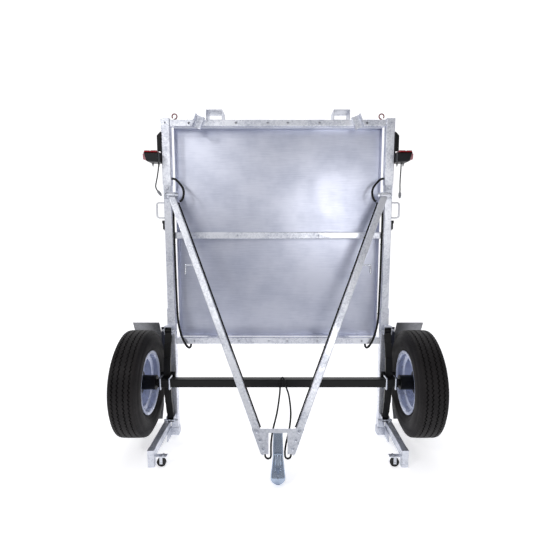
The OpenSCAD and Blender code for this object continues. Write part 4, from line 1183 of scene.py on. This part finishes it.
class Studio:
    """The camera, the pale floor and the soft lights."""

    height: float = 1.2945
    distance: float = 2.276
    pitch: float = 7.0
    focal_px: float = 410.0
    image_px: int = 554
    sensor_mm: float = 36
    floor_half: float = 30
    floor_z: float = -0.0005
    floor_glow: float = 0.5

    def camera(self) -> None:
        """Places the camera before the trailer."""
        data = bpy.data.cameras.new("studio_camera")
        data.sensor_width = self.sensor_mm
        data.lens = self.focal_px / self.image_px * data.sensor_width
        data.shift_x = -1 / self.image_px
        data.clip_end = 100
        eye = bpy.data.objects.new("studio_camera", data)
        eye.location = (0, -self.distance, self.height)
        eye.rotation_euler = (math.radians(90 - self.pitch), 0, 0)
        bpy.context.scene.collection.objects.link(eye)
        bpy.context.scene.camera = eye

    def floor(self) -> None:
        """Lays a pale floor that is brightest under and behind the trailer."""
        half = self.floor_half
        corners = ((-half, -half), (half, -half), (half, half), (-half, half))
        data = bpy.data.meshes.new("pale_floor")
        data.from_pydata([(x, y, self.floor_z) for x, y in corners], [], [(0, 1, 2, 3)])
        floor = bpy.data.objects.new("pale_floor", data)
        bpy.context.scene.collection.objects.link(floor)
        # Matt white vinyl, lit from below behind its front edge
        material = bpy.data.materials.new("lit_white_vinyl")
        material.use_nodes = True
        tree = material.node_tree
        tree.nodes.clear()
        place = add_node(tree, "ShaderNodeSeparateXYZ", None, {
            0: add_node(tree, "ShaderNodeTexCoord").outputs["Object"]})
        rear = add_node(tree, "ShaderNodeMapRange", {"interpolation_type": "SMOOTHSTEP"}, {
            "Value": place.outputs["Y"], "From Min": -2.2, "From Max": -0.9}).outputs["Result"]
        colour = add_node(tree, "ShaderNodeValToRGB", None, {"Fac": rear})
        colour.color_ramp.elements[0].color = linear("d2d4d9")
        colour.color_ramp.elements[1].color = linear("fdfdfe")
        glow = add_node(tree, "ShaderNodeMath", {"operation": "MULTIPLY"}, {0: rear, 1: self.floor_glow})
        paper = add_node(tree, "ShaderNodeBsdfPrincipled", None, {
            "Base Color": colour.outputs["Color"], "Roughness": 0.85,
            "Emission Color": linear("fdfdff"), "Emission Strength": glow.outputs[0]})
        add_node(tree, "ShaderNodeOutputMaterial", None, {"Surface": paper.outputs["BSDF"]})
        data.materials.append(material)

    def lights(self) -> None:
        """Hangs the softboxes and sets the surroundings, pale behind and grey in front."""
        for name, place, aim, size, power in (
                ("key_softbox", (-2.6, -3.0, 3.4), (0, 0.1, 1.0), 0.45, 34),
                ("left_glint", (-1.05, -3.0, 2.15), (-0.4, 0.2, 1.6), 0.8, 5.5),
                ("right_glint", (0.8, -3.0, 1.5), (0.3, 0.2, 1.4), 0.8, 11),
                ("top_softbox", (0, 0.6, 4.6), (0, 0.1, 0.5), 3.0, 34)):
            data = bpy.data.lights.new(name, "AREA")
            data.shape = "SQUARE"
            data.size = size
            data.energy = power
            lamp = bpy.data.objects.new(name, data)
            lamp.location = place
            lamp.rotation_euler = (Vector(aim) - Vector(place)).to_track_quat("-Z", "Y").to_euler()
            bpy.context.scene.collection.objects.link(lamp)
        world = bpy.data.worlds.new("studio_room")
        bpy.context.scene.world = world
        world.use_nodes = True
        tree = world.node_tree
        tree.nodes.clear()
        way = add_node(tree, "ShaderNodeSeparateXYZ", None, {
            0: add_node(tree, "ShaderNodeTexCoord").outputs["Generated"]})
        pale = add_node(tree, "ShaderNodeMapRange", {"interpolation_type": "SMOOTHSTEP"}, {
            "Value": way.outputs["Y"], "From Min": 0.05, "From Max": 0.6, "To Min": 0.36, "To Max": 1.15})
        sky = add_node(tree, "ShaderNodeBackground", None, {
            "Color": linear("fdfdff"), "Strength": pale.outputs["Result"]})
        add_node(tree, "ShaderNodeOutputWorld", None, {"Surface": sky.outputs["Background"]})
        bpy.context.scene.view_settings.view_transform = "Standard"


def main() -> None:
    """Builds the studio, the cords, the finishes and the detailed pieces."""
    logging.basicConfig(level=logging.INFO, format="%(message)s")
    studio = Studio()
    studio.camera()
    places = Places()
    finishes = Finishes()
    cables = Cables(places, finishes)
    cables.build()
    studio.floor()
    studio.lights()
    finishes.dress_nodes()
    tyre = Tyre(places, finishes)
    tyre.build(-1)
    tyre.build(1)
    Coupler(places, finishes).build()
    fittings = Fittings(places, finishes)
    fittings.lamps()
    fittings.handles()
    Repeats(places, finishes).build(cables)


if __name__ == "__main__":
    main()
